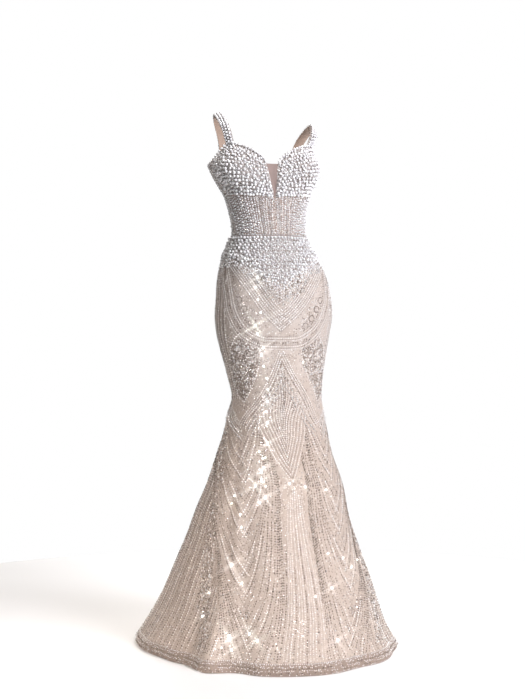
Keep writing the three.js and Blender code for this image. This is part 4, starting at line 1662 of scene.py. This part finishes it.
@dataclass
class Skirt:
    """The trumpet skirt: seven beaded panels from the waist to the hem braid.

    Attributes:
        seed: Seed of the scattered beads.
    """

    seed: int = 11
    pitch: float = 11.0

    def panels(self) -> list[Panel]:
        """Return the panels of cloth."""
        common = {
            "bottom": fixed(BRAID_WIDTH), "top": fixed(WAIST), "net": SKIRT_NET, "slot": "beaded_net",
            "pitch": self.pitch,
        }
        panels = [Panel("skirt_front", fixed(-FRONT_SEAM), fixed(FRONT_SEAM), **common)]
        for side in (1, -1):
            for node, low, high in (
                ("skirt_side_front", FRONT_SEAM, SIDE_FRONT_SEAM),
                ("skirt_side_back", SIDE_FRONT_SEAM, SIDE_BACK_SEAM),
                ("skirt_back", SIDE_BACK_SEAM, CENTRE_BACK),
            ):
                panels.append(sided_panel(side, node, fixed(low), fixed(high), **common))
        return panels

    def build(self) -> None:
        """Make the cloth and sew the pattern on the front and the back."""
        for panel in self.panels():
            panel.build()
        plan = BeadPlan()
        chance = np.random.default_rng(self.seed)
        front_drift = (
            (0, 26), (162, 27), (270, 23), (400, 16), (510, 6), (600, -4), (648, -12), (710, -6),
            (850, -6), (912, -6), (1106, 6),
        )
        SkirtPattern(plan, Face(0, front_drift), chance).sew()
        back_drift = ((0, 0), (600, 0), (1106, 0))
        SkirtPattern(plan, Face(CENTRE_BACK, back_drift), chance).sew()
        spans = {"skirt_front": (-FRONT_SEAM, FRONT_SEAM)}
        spans.update(mirrored({
            "skirt_side_front": (FRONT_SEAM, SIDE_FRONT_SEAM),
            "skirt_side_back": (SIDE_FRONT_SEAM, SIDE_BACK_SEAM),
            "skirt_back": (SIDE_BACK_SEAM, CENTRE_BACK),
        }))
        plan.sew(spans, "beaded_net")


@dataclass
class HipYoke:
    """The pearled yoke over the hips, a second layer whose lower edge dips at the front and back.

    Attributes:
        row_step: Spacing of the rows of pearls in mm.
        pearl_step: Spacing of the pearls along a row in mm.
        fringe: How far loose pearls run down below the yoke's edge, in mm.
        finer_centre: How much smaller the pearls are at the centre.
    """

    row_step: float = 10.6
    pearl_step: float = 12.4
    fringe: float = 32.0
    finer_centre: float = 0.26
    seed: int = 23
    offset: float = CLOTH + YOKE_GAP

    def spans(self) -> dict[str, tuple[float, float]]:
        """Return the angles of the panels."""
        spans = {"yoke_front": (-FRONT_SEAM, FRONT_SEAM)}
        spans.update(mirrored({
            "yoke_side_front": (FRONT_SEAM, SIDE_FRONT_SEAM),
            "yoke_side_back": (SIDE_FRONT_SEAM, SIDE_BACK_SEAM),
            "yoke_back": (SIDE_BACK_SEAM, CENTRE_BACK),
        }))
        return spans

    def build(self) -> None:
        """Make the cloth and sew the pearls."""
        for node, (low, high) in self.spans().items():
            Panel(
                node, fixed(low), fixed(high), yoke_edge, fixed(WAIST - 1), PEARL_GROUND_NET, "pearl_net",
                offset=self.offset - 0.2, pitch=7.0, lining=LINING,
            ).build()
        self.sew_pearls()

    def sew_pearls(self) -> None:
        """Sew rows of pearls parallel to the waist, smaller beads between them and a loose fringe."""
        chance = np.random.default_rng(self.seed)
        plan = BeadPlan(self.offset, crowding=0.84)
        ring = np.linspace(-180, 180, 721)
        step = self.pearl_step
        self.sew_row(plan, chance, Beads.LARGE_PEARL, ring, WAIST - 5.5, 9.8, 0, 0.6)
        for n in range(1, 14):
            height = WAIST - 5.5 - self.row_step * n
            self.sew_row(plan, chance, Beads.LARGE_PEARL, ring, height, step, (n % 2) * 0.5, 2.6)
        for n in range(27):
            height = WAIST - 5.5 - self.row_step / 2 * n
            self.sew_row(plan, chance, Beads.MIDDLE_PEARL, ring, height, step, n * 0.37, 2.2)
        for n in range(40):
            height = WAIST - 5.5 - self.row_step / 3 * n
            self.sew_row(plan, chance, (Beads.SILVER, Beads.SMALL_PEARL, Beads.SMOKE_AND_SHADE)[n % 3], ring, height,
                         step / 2, n * 0.27, 1.6)
        for n in range(52):
            height = WAIST - 4 - self.row_step / 4 * n
            self.sew_row(plan, chance, Beads.FINE, ring, height, 4.6, n * 0.3, 0.8)
        plan.sew(self.spans(), "pearl_net")
        self.sew_fringe(ring, chance)

    def sew_row(self, plan: BeadPlan, chance: Any, kind: Beads, ring: Floats, height: float, step: float,
                phase: float, shake: float) -> None:
        """Sew one uneven row of beads round the yoke.

        Args:
            plan: Plan that gets the beads.
            chance: Seeded generator.
            kind: Kind of bead.
            ring: Angles all round.
            height: Height of the row.
            step: Spacing in mm.
            phase: Share of the spacing by which the row starts late.
            shake: Largest random shift in mm.
        """
        angle, level, _ = resampled(ring, np.full(ring.shape, height), step, (phase % 1) * step)
        angle = angle + chance.uniform(-shake, shake, len(angle)) * 0.4
        level = level + chance.uniform(-shake, shake, len(level))
        inside = (level > yoke_edge(angle) + 1.5) & (level < WAIST - 3)
        grade = chance.uniform(0.78, 1.02, inside.sum())
        if height < WAIST - 8:
            grade = grade * (1 - self.finer_centre * self.centre_share(angle[inside]))
        plan.lay(kind, angle[inside], level[inside], grade=grade)

    def centre_share(self, angle: Floats) -> Floats:
        """Return 1 at centre front and centre back, falling to 0 at the sides."""
        front = np.exp(-((turn_between(0, angle) / 26) ** 2))
        return front + np.exp(-((turn_between(180, angle) / 26) ** 2))

    def sew_fringe(self, ring: Floats, chance: Any) -> None:
        """Sew pearls that grow smaller and sparser below the yoke's edge, furthest at the centre."""
        plan = BeadPlan(0.0, crowding=0.9)
        rows = 13
        centre = self.centre_share(ring)
        kinds = (Beads.LARGE_PEARL, Beads.MIDDLE_PEARL, Beads.SMALL_PEARL, Beads.SMALL_PEARL, Beads.SILVER)
        for n in range(rows):
            drop = 2.0 + (self.fringe + 40 * centre) * n / rows
            angle, level, _ = resampled(ring, yoke_edge(ring) - drop, 9.4, (n % 2) * 4.7)
            kept = chance.random(len(angle)) < 0.92 - 0.62 * n / rows
            angle = angle[kept] + chance.uniform(-1.2, 1.2, kept.sum())
            level = level[kept] + chance.uniform(-3.4, 3.4, kept.sum())
            plan.lay(kinds[min(4, n // 2)], angle, level, grade=chance.uniform(0.7, 1.0, kept.sum()))
        for n in range(rows * 2):
            drop = 1.5 + (self.fringe + 36 * centre) * n / rows / 2
            angle, level, _ = resampled(ring, yoke_edge(ring) - drop, 5.4, (n % 2) * 2.7)
            kept = chance.random(len(angle)) < 0.8 - 0.3 * n / rows
            angle = angle[kept] + chance.uniform(-0.6, 0.6, kept.sum())
            level = level[kept] + chance.uniform(-1.8, 1.8, kept.sum())
            plan.lay((Beads.SILVER, Beads.SMOKE_AND_SHADE, Beads.FINE)[n % 3], angle, level)
        spans = {name.replace("yoke", "hip_fringe"): span for name, span in self.spans().items()}
        plan.sew(spans, "beaded_net")


@dataclass
class Bodice:
    """The bodice: moulded cups, sheer insert, midriff, side and back panels.

    Attributes:
        cup_columns: Pearls in a row across a cup.
        cup_rows: Rows of pearls up a cup.
    """

    cup_columns: int = 18
    cup_rows: int = 15
    seed: int = 37

    def cups(self) -> list[Panel]:
        """Return the two cups."""
        common = {
            "bottom": underbust, "top": neckline, "net": PEARL_GROUND_NET, "slot": "pearl_net",
            "held": "stretched", "pitch": 6.0,
        }
        return [sided_panel(side, "cup", insert_edge, fixed(SIDE_FRONT_SEAM), **common) for side in (1, -1)]

    def plain_panels(self) -> list[Panel]:
        """Return the insert, the midriff and the panels round the back."""
        panels = [
            Panel(
                "centre_insert", lambda rise: -insert_edge(rise), insert_edge, fixed(1290), fixed(1384),
                INSERT_NET, "sheer_net", "stretched", NET, -0.5, 5.0, INSERT_NET,
            ),
            Panel(
                "midriff_front", fixed(-FRONT_SEAM), fixed(FRONT_SEAM), fixed(WAIST), underbust,
                MIDRIFF_NET, "beaded_net", "stretched", pitch=6.0,
            ),
        ]
        for side in (1, -1):
            panels.append(sided_panel(
                side, "midriff_side", fixed(FRONT_SEAM), fixed(SIDE_FRONT_SEAM), bottom=fixed(WAIST),
                top=underbust, net=MIDRIFF_NET, slot="pearl_net", held="stretched", pitch=6.0,
            ))
            panels.append(sided_panel(
                side, "bodice_side", fixed(SIDE_FRONT_SEAM), fixed(SIDE_BACK_SEAM), bottom=fixed(WAIST),
                top=neckline, net=MIDRIFF_NET, slot="beaded_net", held="stretched", pitch=7.0,
            ))
            panels.append(sided_panel(
                side, "bodice_back", fixed(SIDE_BACK_SEAM), fixed(CENTRE_BACK), bottom=fixed(WAIST),
                top=neckline, net=MIDRIFF_NET, slot="beaded_net", held="stretched", pitch=7.0,
            ))
        return panels

    def build(self) -> None:
        """Make the cloth and sew the pearls and beads."""
        for panel in (*self.cups(), *self.plain_panels()):
            panel.build()
        chance = np.random.default_rng(self.seed)
        plan = BeadPlan(0.0, crowding=0.84)
        waist = np.linspace(-180, 180, 721)
        plan.lay(Beads.SILVER, *resampled(waist, np.full(waist.shape, WAIST + 2.6), 5.0))
        self.sew_neckline(plan, chance)
        for cup in self.cups():
            self.sew_cup(plan, cup, chance)
        self.sew_midriff(plan, chance)
        self.sew_back(plan, chance)
        spans = {"bodice_front": (0, SIDE_FRONT_SEAM), "bodice_side": (SIDE_FRONT_SEAM, SIDE_BACK_SEAM),
                 "bodice_back": (SIDE_BACK_SEAM, CENTRE_BACK)}
        plan.sew(mirrored(spans), "pearl_net")

    def sew_neckline(self, plan: BeadPlan, chance: Any) -> None:
        """Sew the row of large pearls that scallops the neckline."""
        for side in (1, -1):
            angle = side * np.linspace(6.4, 178.6, 700)
            places = resampled(angle, neckline(angle) - 1.0, 10.2, 3.0)
            grade = chance.uniform(0.96, 1.06, len(places[0]))
            plan.lay(Beads.LARGE_PEARL, places[0], places[1], grade=grade)

    def sew_cup(self, plan: BeadPlan, cup: Panel, chance: Any) -> None:
        """Sew pearls on every other point of a lattice, silver beads on the rest and fine ones between.

        Args:
            plan: Plan that gets the beads.
            cup: The cup's panel.
            chance: Seeded generator.
        """
        def on_lattice(kind: Beads, across_shift: float, rise_shift: float, shake: float, low: float,
                       high: float) -> None:
            column, row = np.meshgrid(np.arange(-1, self.cup_columns + 1), np.arange(self.cup_rows))
            across = (column + across_shift + 0.5 * (row % 2)) / self.cup_columns
            rise = (row + rise_shift) / self.cup_rows
            within = (across > 0.01) & (across < 0.99)
            angle, height = cup.place(across[within], rise[within])
            moved = chance.uniform(-shake, shake, (2, len(angle)))
            angle, height = angle + moved[0] * 0.4, height + moved[1]
            inside = np.abs(angle) > insert_edge((height - 1290) / 94) + 1.2
            inside &= height < neckline(angle) - 1
            grade = chance.uniform(low, high, inside.sum())
            plan.lay(kind, angle[inside], height[inside], grade=grade)

        on_lattice(Beads.LARGE_PEARL, 0.3, 0.4, 1.7, 0.84, 1.04)
        on_lattice(Beads.MIDDLE_PEARL, 0.8, 0.9, 1.7, 0.9, 1.1)
        on_lattice(Beads.SMALL_PEARL, 0.8, 0.4, 1.4, 0.9, 1.2)
        on_lattice(Beads.SILVER, 0.3, 0.9, 1.4, 0.8, 1.1)
        on_lattice(Beads.SILVER, 0.05, 0.65, 1.2, 0.8, 1.0)
        on_lattice(Beads.SILVER, 0.55, 0.65, 1.2, 0.7, 1.0)
        on_lattice(Beads.FINE, 0.05, 0.15, 1.2, 0.9, 1.1)
        on_lattice(Beads.FINE, 0.55, 0.15, 1.2, 0.9, 1.1)

    def midriff_line(self, side: int, away: float) -> tuple[Floats, Floats]:
        """Return an upright line of the midriff, which leans towards the centre at the waist."""
        height = np.linspace(WAIST + 2, 1299, 70)
        rise = (height - WAIST) / 115
        lean = 2.4 * np.sin(rise * math.pi) * math.exp(-away / 30)
        angle = side * (away * lerp(0.88, 1.04, rise) + lean)
        inside = (height < underbust(angle) - 1) & (np.abs(angle) < SIDE_FRONT_SEAM)
        return angle[inside], height[inside]

    def sew_midriff(self, plan: BeadPlan, chance: Any) -> None:
        """Sew upright strings that lean towards the centre, pearled on the sides, then fill between."""
        outer = (Stitchline(Beads.SMALL_PEARL, 6.6), Stitchline(Beads.MIDDLE_PEARL, 9.4))
        inner = (
            Stitchline(Beads.SMALL_PEARL, 7.6), Stitchline(Beads.SILVER, 5.8), Stitchline(Beads.PALE, 6.0),
        )
        strings = [2.0 + 4.2 * n for n in range(18)]
        for side in (1, -1):
            for n, away in enumerate(strings):
                places = self.midriff_line(side, away)
                if len(places[0]) < 4:
                    continue
                stitch = outer[n % 2] if away > 27 else inner[n % 3]
                spots = resampled(*places, stitch.pitch, 1.0 + chance.uniform(0, stitch.pitch))
                plan.lay(stitch.kind, *spots, grade=chance.uniform(0.8, 1.05, len(spots[0])))
            for n, away in enumerate(strings):
                first = (Beads.SMOKE_AND_SHADE, Beads.FINE) if away > 27 else (Beads.SILVER, Beads.PALE)
                for aside, kinds in ((1.4, first), (2.8, (Beads.FINE, Beads.SILVER))):
                    angle, height = self.midriff_line(side, away + aside)
                    if len(angle) < 4:
                        continue
                    spots = resampled(angle, height, 5.2, chance.uniform(0, 4))
                    plan.lay(kinds[n % 2], *spots, grade=chance.uniform(0.6, 0.95, len(spots[0])))
            seam = np.linspace(WAIST + 2, 1299, 60)
            spots = resampled(np.full(seam.shape, side * FRONT_SEAM), seam, 5.2)
            plan.lay(Beads.SILVER, *spots)
            beside_seam = side * (FRONT_SEAM - 1.6) + seam * 0
            plan.lay(Beads.SILVER, *resampled(beside_seam, seam, 5.2, 2.6))
        angle = chance.uniform(-SIDE_FRONT_SEAM, SIDE_FRONT_SEAM, 2400)
        height = chance.uniform(WAIST + 3, 1299, 2400)
        kept = height < underbust(angle) - 1
        plan.lay(Beads.FINE, angle[kept], height[kept], grade=0.8)

    def sew_back(self, plan: BeadPlan, chance: Any) -> None:
        """Sew upright lines round the sides and the back, closer and pearled towards the top."""
        height = np.linspace(WAIST + 3, 1440, 130)
        for side in (1, -1):
            for n in range(44):
                away = SIDE_FRONT_SEAM + 1.4 + 2.5 * n
                if away > CENTRE_BACK - 1:
                    break
                angle = np.full(height.shape, side * away)
                inside = height < neckline(angle) - 6
                stitch = (
                    Stitchline(Beads.SILVER, 6.2, (n * 1.9) % 5, 0.9),
                    Stitchline(Beads.PALE, 4.6, (n * 1.3) % 4),
                    Stitchline(Beads.SMALL_PEARL, 9.0, (n * 2.7) % 8),
                    Stitchline(Beads.FINE, 3.6),
                )[n % 4]
                spots = resampled(angle[inside], height[inside], stitch.pitch, stitch.start)
                grade = chance.uniform(0.86, 1.06, len(spots[0])) * stitch.grade
                plan.lay(stitch.kind, *spots, grade=grade)
                upper = inside & (height > neckline(angle) - 46)
                spots = resampled(angle[upper], height[upper], 11.4, (n % 2) * 5.7)
                if n % 2 == 0:
                    plan.lay(Beads.MIDDLE_PEARL, *spots, grade=chance.uniform(0.9, 1.05, len(spots[0])))


@dataclass
class HemBraid:
    """The stiff net braid round the hem, one ring that curls in a little at its lower edge."""

    curl: float = 5.0
    columns: int = 420
    rows: int = 6

    def build(self) -> None:
        """Make the ring and the beads that run down over it."""
        angle, share = np.meshgrid(
            np.linspace(0, 360, self.columns, endpoint=False), np.linspace(0, 1, self.rows)
        )
        top = BRAID_WIDTH - SEAM_GAP / 2
        height = share * top
        normal = FORM.normal(angle, height)
        level = normal * np.array((1, 1, 0))
        turned_in = self.curl * np.clip(1 - height / (BRAID_WIDTH / 2), 0, 1)
        outer = FORM.surface(angle, height) - unit(level) * turned_in[..., None] - normal * 0.2
        inner = outer - normal * (CLOTH - 0.6)
        shell = Shell(outer, inner, ring=True)
        braid = FINISHES.get(BRAID)
        piece = shell.build("hem_braid_cloth", braid, braid)
        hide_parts("hem_braid")
        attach(piece, "root")
        self.sew_lines()

    def sew_lines(self) -> None:
        """Sew one row of beads along the braid's upper edge and scatter fine ones below it."""
        plan = BeadPlan(0.0)
        chance = np.random.default_rng(5)
        ring = np.linspace(-180, 180, 1441)
        plan.lay(Beads.FINE, *resampled(ring, np.full(ring.shape, 28.0), 5.6))
        for n in range(7):
            angle, level, _ = resampled(ring, np.full(ring.shape, 24.5 - 3.5 * n), 6.0, (n % 2) * 3.0)
            angle = angle + chance.uniform(-0.3, 0.3, len(angle))
            kept = chance.random(len(angle)) < 0.78 - 0.04 * n
            level = level[kept] + chance.uniform(-1.6, 1.6, kept.sum())
            clear = level > 2.0
            kind = (Beads.FINE, Beads.FINE, Beads.SMOKE_AND_SHADE)[n % 3]
            plan.lay(kind, angle[kept][clear], level[clear], grade=0.85)
        plan.sew({"hem_braid": (-180, 180)}, "braid_net")


@dataclass
class Straps:
    """The two padded shoulder straps, covered with three rows of pearls.

    Attributes:
        width: Width of a strap in mm.
        thickness: Its padded thickness in mm.
        front_angle: Degrees from centre front to its seat on the cup.
        back_angle: Degrees from centre front to its seat on the back.
    """

    width: float = 25.0
    thickness: float = 4.0
    rounding: float = 1.5
    front_angle: float = 48.5
    back_angle: float = 142.0
    tilt_from: float = 1440.0
    slope: float = 0.3
    rows: int = 110
    columns: int = 12

    def seat(self, angle: float, turn: int, share: Floats) -> tuple[Floats, Floats]:
        """Return points and normals of an edge that the strap is sewn to.

        Args:
            angle: Angle of the seat's middle.
            turn: 1 at the cup and -1 at the back, times the side.
            share: Shares of the strap's width, from -0.5 to 0.5.

        Returns:
            Points on the edge and the form's normals there.
        """
        middle = np.array(angle, float)
        wide = FORM.degrees_for(self.width, middle, neckline(middle))
        at = angle + share * turn * wide
        return FORM.surface(at, neckline(at) + SEAM_GAP), FORM.normal(at, neckline(at))

    def route(self, side: int) -> tuple[Floats, Floats]:
        """Return a fine route along the strap's underside and the distance travelled on it."""
        ends = []
        for angle, turn in ((self.front_angle, 1), (self.back_angle, -1)):
            point, out = self.seat(side * angle, turn, np.zeros(1))
            ends.append(point[0] - out[0] * CLOTH)
        middle = []
        for x, y, height in STRAP_ROUTE:
            share = max((height - self.tilt_from) / (SHOULDER_HEIGHT - self.tilt_from), 0)
            middle.append((side * x, y, height - side * SHOULDER_TILT * share))
        knots = np.array([ends[0], *middle, ends[1]])
        padded = np.vstack((2 * knots[0] - knots[1], knots, 2 * knots[-1] - knots[-2]))
        parts = []
        for n in range(len(knots) - 1):
            p0, p1, p2, p3 = padded[n:n + 4]
            d0, d1, d2 = (np.linalg.norm(b - a) ** 0.5 for a, b in ((p0, p1), (p1, p2), (p2, p3)))
            m1 = ((p1 - p0) / d0 - (p2 - p0) / (d0 + d1) + (p2 - p1) / d1) * d1
            m2 = ((p2 - p1) / d1 - (p3 - p1) / (d1 + d2) + (p3 - p2) / d2) * d1
            t = np.linspace(0, 1, 120, endpoint=n == len(knots) - 2)[:, None]
            parts.append(
                (2 * t**3 - 3 * t**2 + 1) * p1 + (t**3 - 2 * t**2 + t) * m1
                + (3 * t**2 - 2 * t**3) * p2 + (t**3 - t**2) * m2
            )
        points = np.vstack(parts)
        travelled = np.concatenate(((0.0,), np.cumsum(np.linalg.norm(np.diff(points, axis=0), axis=1))))
        return points, travelled

    def band(self, side: int, t: Floats, share: Floats, depth: Floats) -> tuple[Floats, Floats, Floats]:
        """Place points on the strap.

        Args:
            side: 1 for the wearer's left and -1 for the right.
            t: Shares of the strap's length.
            share: Shares of its width, from -0.5 to 0.5.
            depth: Distance out of its underside in mm.

        Returns:
            Points, outward directions and directions along the strap.
        """
        points, travelled = self.route(side)
        stops = t * travelled[-1]
        middle = np.stack([np.interp(stops, travelled, points[:, n]) for n in range(3)], axis=-1)
        ahead = np.stack([np.interp(stops + 1.5, travelled, points[:, n]) for n in range(3)], axis=-1)
        behind = np.stack([np.interp(stops - 1.5, travelled, points[:, n]) for n in range(3)], axis=-1)
        tangent = unit(ahead - behind)
        widths = []
        for angle, turn in ((self.front_angle, 1), (self.back_angle, -1)):
            edge, _ = self.seat(side * angle, turn, np.array((-0.5, 0.5)))
            widths.append(unit(edge[1] - edge[0]))
        across = lerp(widths[0], widths[1], t[..., None])
        across = across - np.array((0, 0, 1.0)) * (side * self.slope * np.sin(np.pi * t))[..., None]
        across = unit(across - tangent * (across * tangent).sum(axis=-1, keepdims=True))
        out = unit(np.cross(across, tangent))
        rounded = depth - np.where(depth > 0, self.rounding * 4 * share * share, 0)
        return middle + across * (share * self.width)[..., None] + out * rounded[..., None], out, tangent

    def build(self) -> None:
        """Make both straps with their pearls."""
        for side, label in ((1, "left"), (-1, "right")):
            share, t = np.meshgrid(
                np.linspace(-0.5, 0.5, self.columns + 1), np.linspace(0, 1, self.rows + 1)
            )
            outer, out, _ = self.band(side, t, share, np.full(t.shape, self.thickness - 0.2))
            inner, _, _ = self.band(side, t, share, np.zeros(t.shape))
            for row, (angle, turn) in ((0, (self.front_angle, 1)), (-1, (self.back_angle, -1))):
                edge, normal = self.seat(side * angle, turn, share[row])
                depth = self.thickness - 0.2 - self.rounding * 4 * share[row] ** 2
                outer[row] = edge + normal * (depth - CLOTH)[:, None]
                inner[row] = edge - normal * CLOTH
            shell = Shell(outer, inner)
            piece = shell.build(
                f"strap_{label}_band", FINISHES.get(PEARL_GROUND_NET), FINISHES.get(LINING)
            )
            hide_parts(f"strap_{label}")
            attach(piece, "root")
            flat = shell.flat_size()
            log.info("%s: %.0f by %.0f mm", piece.name, flat[0] / MM, flat[1] / MM)
            self.sew_pearls(side, label, flat[1] / MM)

    def sew_pearls(self, side: int, label: str, length: float) -> None:
        """Sew three staggered rows of pearls with silver beads between them.

        Args:
            side: 1 for the wearer's left and -1 for the right.
            label: The side's name.
            length: Length of the strap in mm.
        """
        chance = np.random.default_rng(51 + side)
        kinds = (
            (Beads.LARGE_PEARL, 8.9, ((-0.34, 0.0), (0.0, 0.5), (0.34, 0.0)), 0.92),
            (Beads.SILVER, 8.9, ((-0.17, 0.25), (0.17, 0.25), (-0.17, 0.75), (0.17, 0.75)), 0.75),
        )
        for kind, step, columns, size in kinds:
            places = []
            for share, phase in columns:
                stops = np.arange(step * (0.3 + phase), length - step * 0.3, step)
                places.append(np.column_stack((stops / length, np.full(stops.shape, share))))
            spots = np.vstack(places)
            depth = np.full(len(spots), self.thickness + kind.value.lift * size)
            points, out, tangent = self.band(side, spots[:, 0], spots[:, 1], depth)
            grade = size * chance.uniform(0.94, 1.04, len(spots))
            SEWER.sew(
                f"strap_{label}_{kind.value.label}", kind.value, points, out, tangent, grade, "pearl_net"
            )


@dataclass
class BackZip:
    """The concealed zip behind the centre back seam: tape, coil and a small pull at the top.

    Attributes:
        width: Width of the tape in mm.
        top: Height of its upper end.
        bottom: Height of its lower end.
        behind: Clear space between the cloth and the tape.
    """

    width: float = 24.0
    top: float = 1346.0
    bottom: float = 1010.0
    behind: float = 0.9

    def build(self) -> None:
        """Make the tape and the coil."""
        height, across = np.meshgrid(
            np.linspace(self.bottom, self.top, 80), np.linspace(-0.5, 0.5, 7), indexing="ij"
        )
        wide = FORM.degrees_for(self.width, np.full(height.shape, CENTRE_BACK), height)
        angle = CENTRE_BACK + across * wide
        depth = np.full(height.shape, -CLOTH - self.behind)
        shell = Shell(FORM.raised(angle, height, depth), FORM.raised(angle, height, depth - NET * 0.6))
        tape = FINISHES.get(ZIP_TAPE)
        piece = shell.build("back_zip_tape", tape, tape)
        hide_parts("back_zip")
        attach(piece, "root")
        self.sew_coil()

    def sew_coil(self) -> None:
        """Lay the turns of the coil down the middle of the tape's inner side."""
        height = np.arange(self.bottom + 6, self.top - 4, 2.0)
        angle = np.full(height.shape, CENTRE_BACK)
        facing = -FORM.normal(angle, height)
        points = FORM.surface(angle, height) + facing * (CLOTH + self.behind + NET * 0.6 + 0.6)
        turn = BeadKind("coil", BeadShape.BUGLE, PLATED_METAL, 4.4, 1.3, 1.4, 0.0, 0.0, 0.0)
        heading = np.tile((1.0, 0.0, 0.0), (len(height), 1))
        SEWER.sew("back_zip_coil", turn, points, facing, heading, np.ones(len(height)), "zip_tape")


class LightPart(Enum):
    """What a lamp lights: everything, only matt surfaces or only glints."""

    ALL = "all"
    MATT = "matt"
    GLINTS = "glints"


@dataclass
class Studio:
    """Pale floor, soft light and the camera at the photograph's viewing angle.

    Attributes:
        distance: Camera distance in metres.
        bearing: Degrees that the camera stands to the wearer's right of the front.
        eye_height: Height of the camera above the hem.
        aside: Sideways shift of the camera in metres.
        focal_pixels: Focal length in pixels of the photograph.
        long_side: Longer side of the photograph in pixels.
    """

    distance: float = 3.8
    bearing: float = 13.0
    eye_height: float = 0.854
    aside: float = -0.009
    focal_pixels: float = 1296.9
    long_side: float = 699.0
    floor_radius: float = 1.75

    def floor(self) -> None:
        """Lay a round pale floor just under the hem."""
        angle = np.linspace(0, 2 * math.pi, 96, endpoint=False)
        low = -SHOULDER_HEIGHT * MM - 0.001
        points = [(math.cos(a) * self.floor_radius, math.sin(a) * self.floor_radius, low) for a in angle]
        mesh = bpy.data.meshes.new("studio_floor")
        mesh.from_pydata(points, [], [list(range(len(points)))])
        mesh.materials.append(FINISHES.get(StudioFloor()))
        new_object("studio_floor", mesh)

    def camera(self) -> None:
        """Set up the camera."""
        data = bpy.data.cameras.new("camera")
        data.sensor_width = 36.0
        data.lens = self.focal_pixels * data.sensor_width / self.long_side
        data.clip_end = 60
        camera = bpy.data.objects.new("camera", data)
        bpy.context.scene.collection.objects.link(camera)
        turn = math.radians(self.bearing)
        ahead = Vector((math.sin(turn), math.cos(turn), 0))
        right = Vector((math.cos(turn), -math.sin(turn), 0))
        height = self.eye_height - SHOULDER_HEIGHT * MM
        camera.location = -ahead * self.distance + right * self.aside + Vector((0, 0, height))
        camera.rotation_euler = ahead.to_track_quat("-Z", "Y").to_euler()
        bpy.context.scene.camera = camera

    def lamp(self, name: str, place: tuple[float, float, float], aim: tuple[float, float, float],
             size: float, power: float, colour: str = "#ffffff", part: LightPart = LightPart.ALL,
             spread: float = 180.0) -> None:
        """Hang one square softbox.

        Args:
            name: Name of the lamp.
            place: Its place in metres.
            aim: Point that it faces.
            size: Side of the softbox in metres.
            power: Power in watts.
            colour: Colour of the light.
            part: What the lamp does, all or only one part.
            spread: Angle in degrees that the lamp's grid lets through.
        """
        data = bpy.data.lights.new(name, "AREA")
        data.shape = "SQUARE"
        data.size = size
        data.energy = power
        data.color = linear(colour)[:3]
        data.spread = math.radians(spread)
        lamp = bpy.data.objects.new(name, data)
        lamp.location = place
        lamp.rotation_euler = (Vector(aim) - Vector(place)).to_track_quat("-Z", "Y").to_euler()
        lamp.visible_glossy = part is not LightPart.MATT
        lamp.visible_diffuse = part is not LightPart.GLINTS
        bpy.context.scene.collection.objects.link(lamp)

    def world(self) -> None:
        """Light the room dimly, and keep its walls white where they are seen or mirrored."""
        world = bpy.data.worlds.new("white_room")
        world.use_nodes = True
        tree = world.node_tree
        tree.nodes.clear()
        rays = add_node(tree, "ShaderNodeLightPath")
        dim = add_node(tree, "ShaderNodeBackground", {"Color": linear("#fff8f2"), "Strength": 0.08})
        mirrored_wall = add_node(
            tree, "ShaderNodeBackground", {"Color": linear("#eceffa"), "Strength": 0.45}
        )
        seen = add_node(tree, "ShaderNodeBackground", {"Color": linear("#ffffff"), "Strength": 1.0})
        glossy = add_node(
            tree, "ShaderNodeMixShader",
            {0: rays.outputs["Is Glossy Ray"], 1: dim.outputs[0], 2: mirrored_wall.outputs[0]},
        )
        mixed = add_node(
            tree, "ShaderNodeMixShader",
            {0: rays.outputs["Is Camera Ray"], 1: glossy.outputs[0], 2: seen.outputs[0]},
        )
        add_node(tree, "ShaderNodeOutputWorld", {"Surface": mixed.outputs[0]})
        bpy.context.scene.world = world

    def star_filter(self) -> None:
        """Put a star filter before the lens: the brightest glints get short crossed rays."""
        scene = bpy.context.scene
        scene.use_nodes = True
        tree = scene.node_tree
        tree.nodes.clear()
        seen = add_node(tree, "CompositorNodeRLayers")
        stars = add_node(
            tree, "CompositorNodeGlare",
            {
                "Image": seen.outputs["Image"], "Highlights Threshold": 1.5, "Clamp Highlights": True,
                "Maximum Highlights": 26.0, "Strength": 0.9, "Streaks": 4,
                "Streaks Angle": math.radians(32), "Iterations": 2, "Fade": 0.82, "Color Modulation": 0.0,
            },
            glare_type="STREAKS",
        )
        add_node(tree, "CompositorNodeComposite", {"Image": stars.outputs["Image"]})

    def build(self) -> None:
        """Set up the whole studio."""
        self.star_filter()
        self.camera()
        self.floor()
        self.world()
        aim = (0.0, 0.0, -0.7)
        self.lamp("key_softbox", (1.92, -2.84, 0.6), aim, 1.8, 190, "#f7f8ff", LightPart.MATT)
        self.lamp("glint_softbox", GLINT_PLACE, aim, 0.5, 110, part=LightPart.GLINTS)
        self.lamp("soft_fill", (1.2, -3.4, 0.3), aim, 2.2, 20, part=LightPart.GLINTS)
        hem = (-0.25, 0.0, -1.42)
        self.lamp("hem_softbox", (-2.3, -1.5, -0.1), hem, 0.8, 1.7, "#fff4ea", LightPart.MATT, 36)
        self.lamp("back_softbox", (1.3, 2.9, 1.2), aim, 1.8, 120)
        self.lamp("ceiling_panel", (-0.5, 0.1, 2.4), (-0.2, 0.1, -1.5), 2.2, 60, "#fff6ee")
        bpy.context.scene.view_settings.view_transform = "Standard"
        log.info("studio: camera, floor, world and six lamps")


def main() -> None:
    """Build the gown and its studio, and log the number of bead triangles."""
    logging.basicConfig(level=logging.INFO, format="%(name)s: %(message)s")
    Studio().build()
    Bodice().build()
    Straps().build()
    HipYoke().build()
    Skirt().build()
    HemBraid().build()
    BackZip().build()
    log.info("beads: %d triangles in all", SEWER.total)


if __name__ == "__main__":
    main()
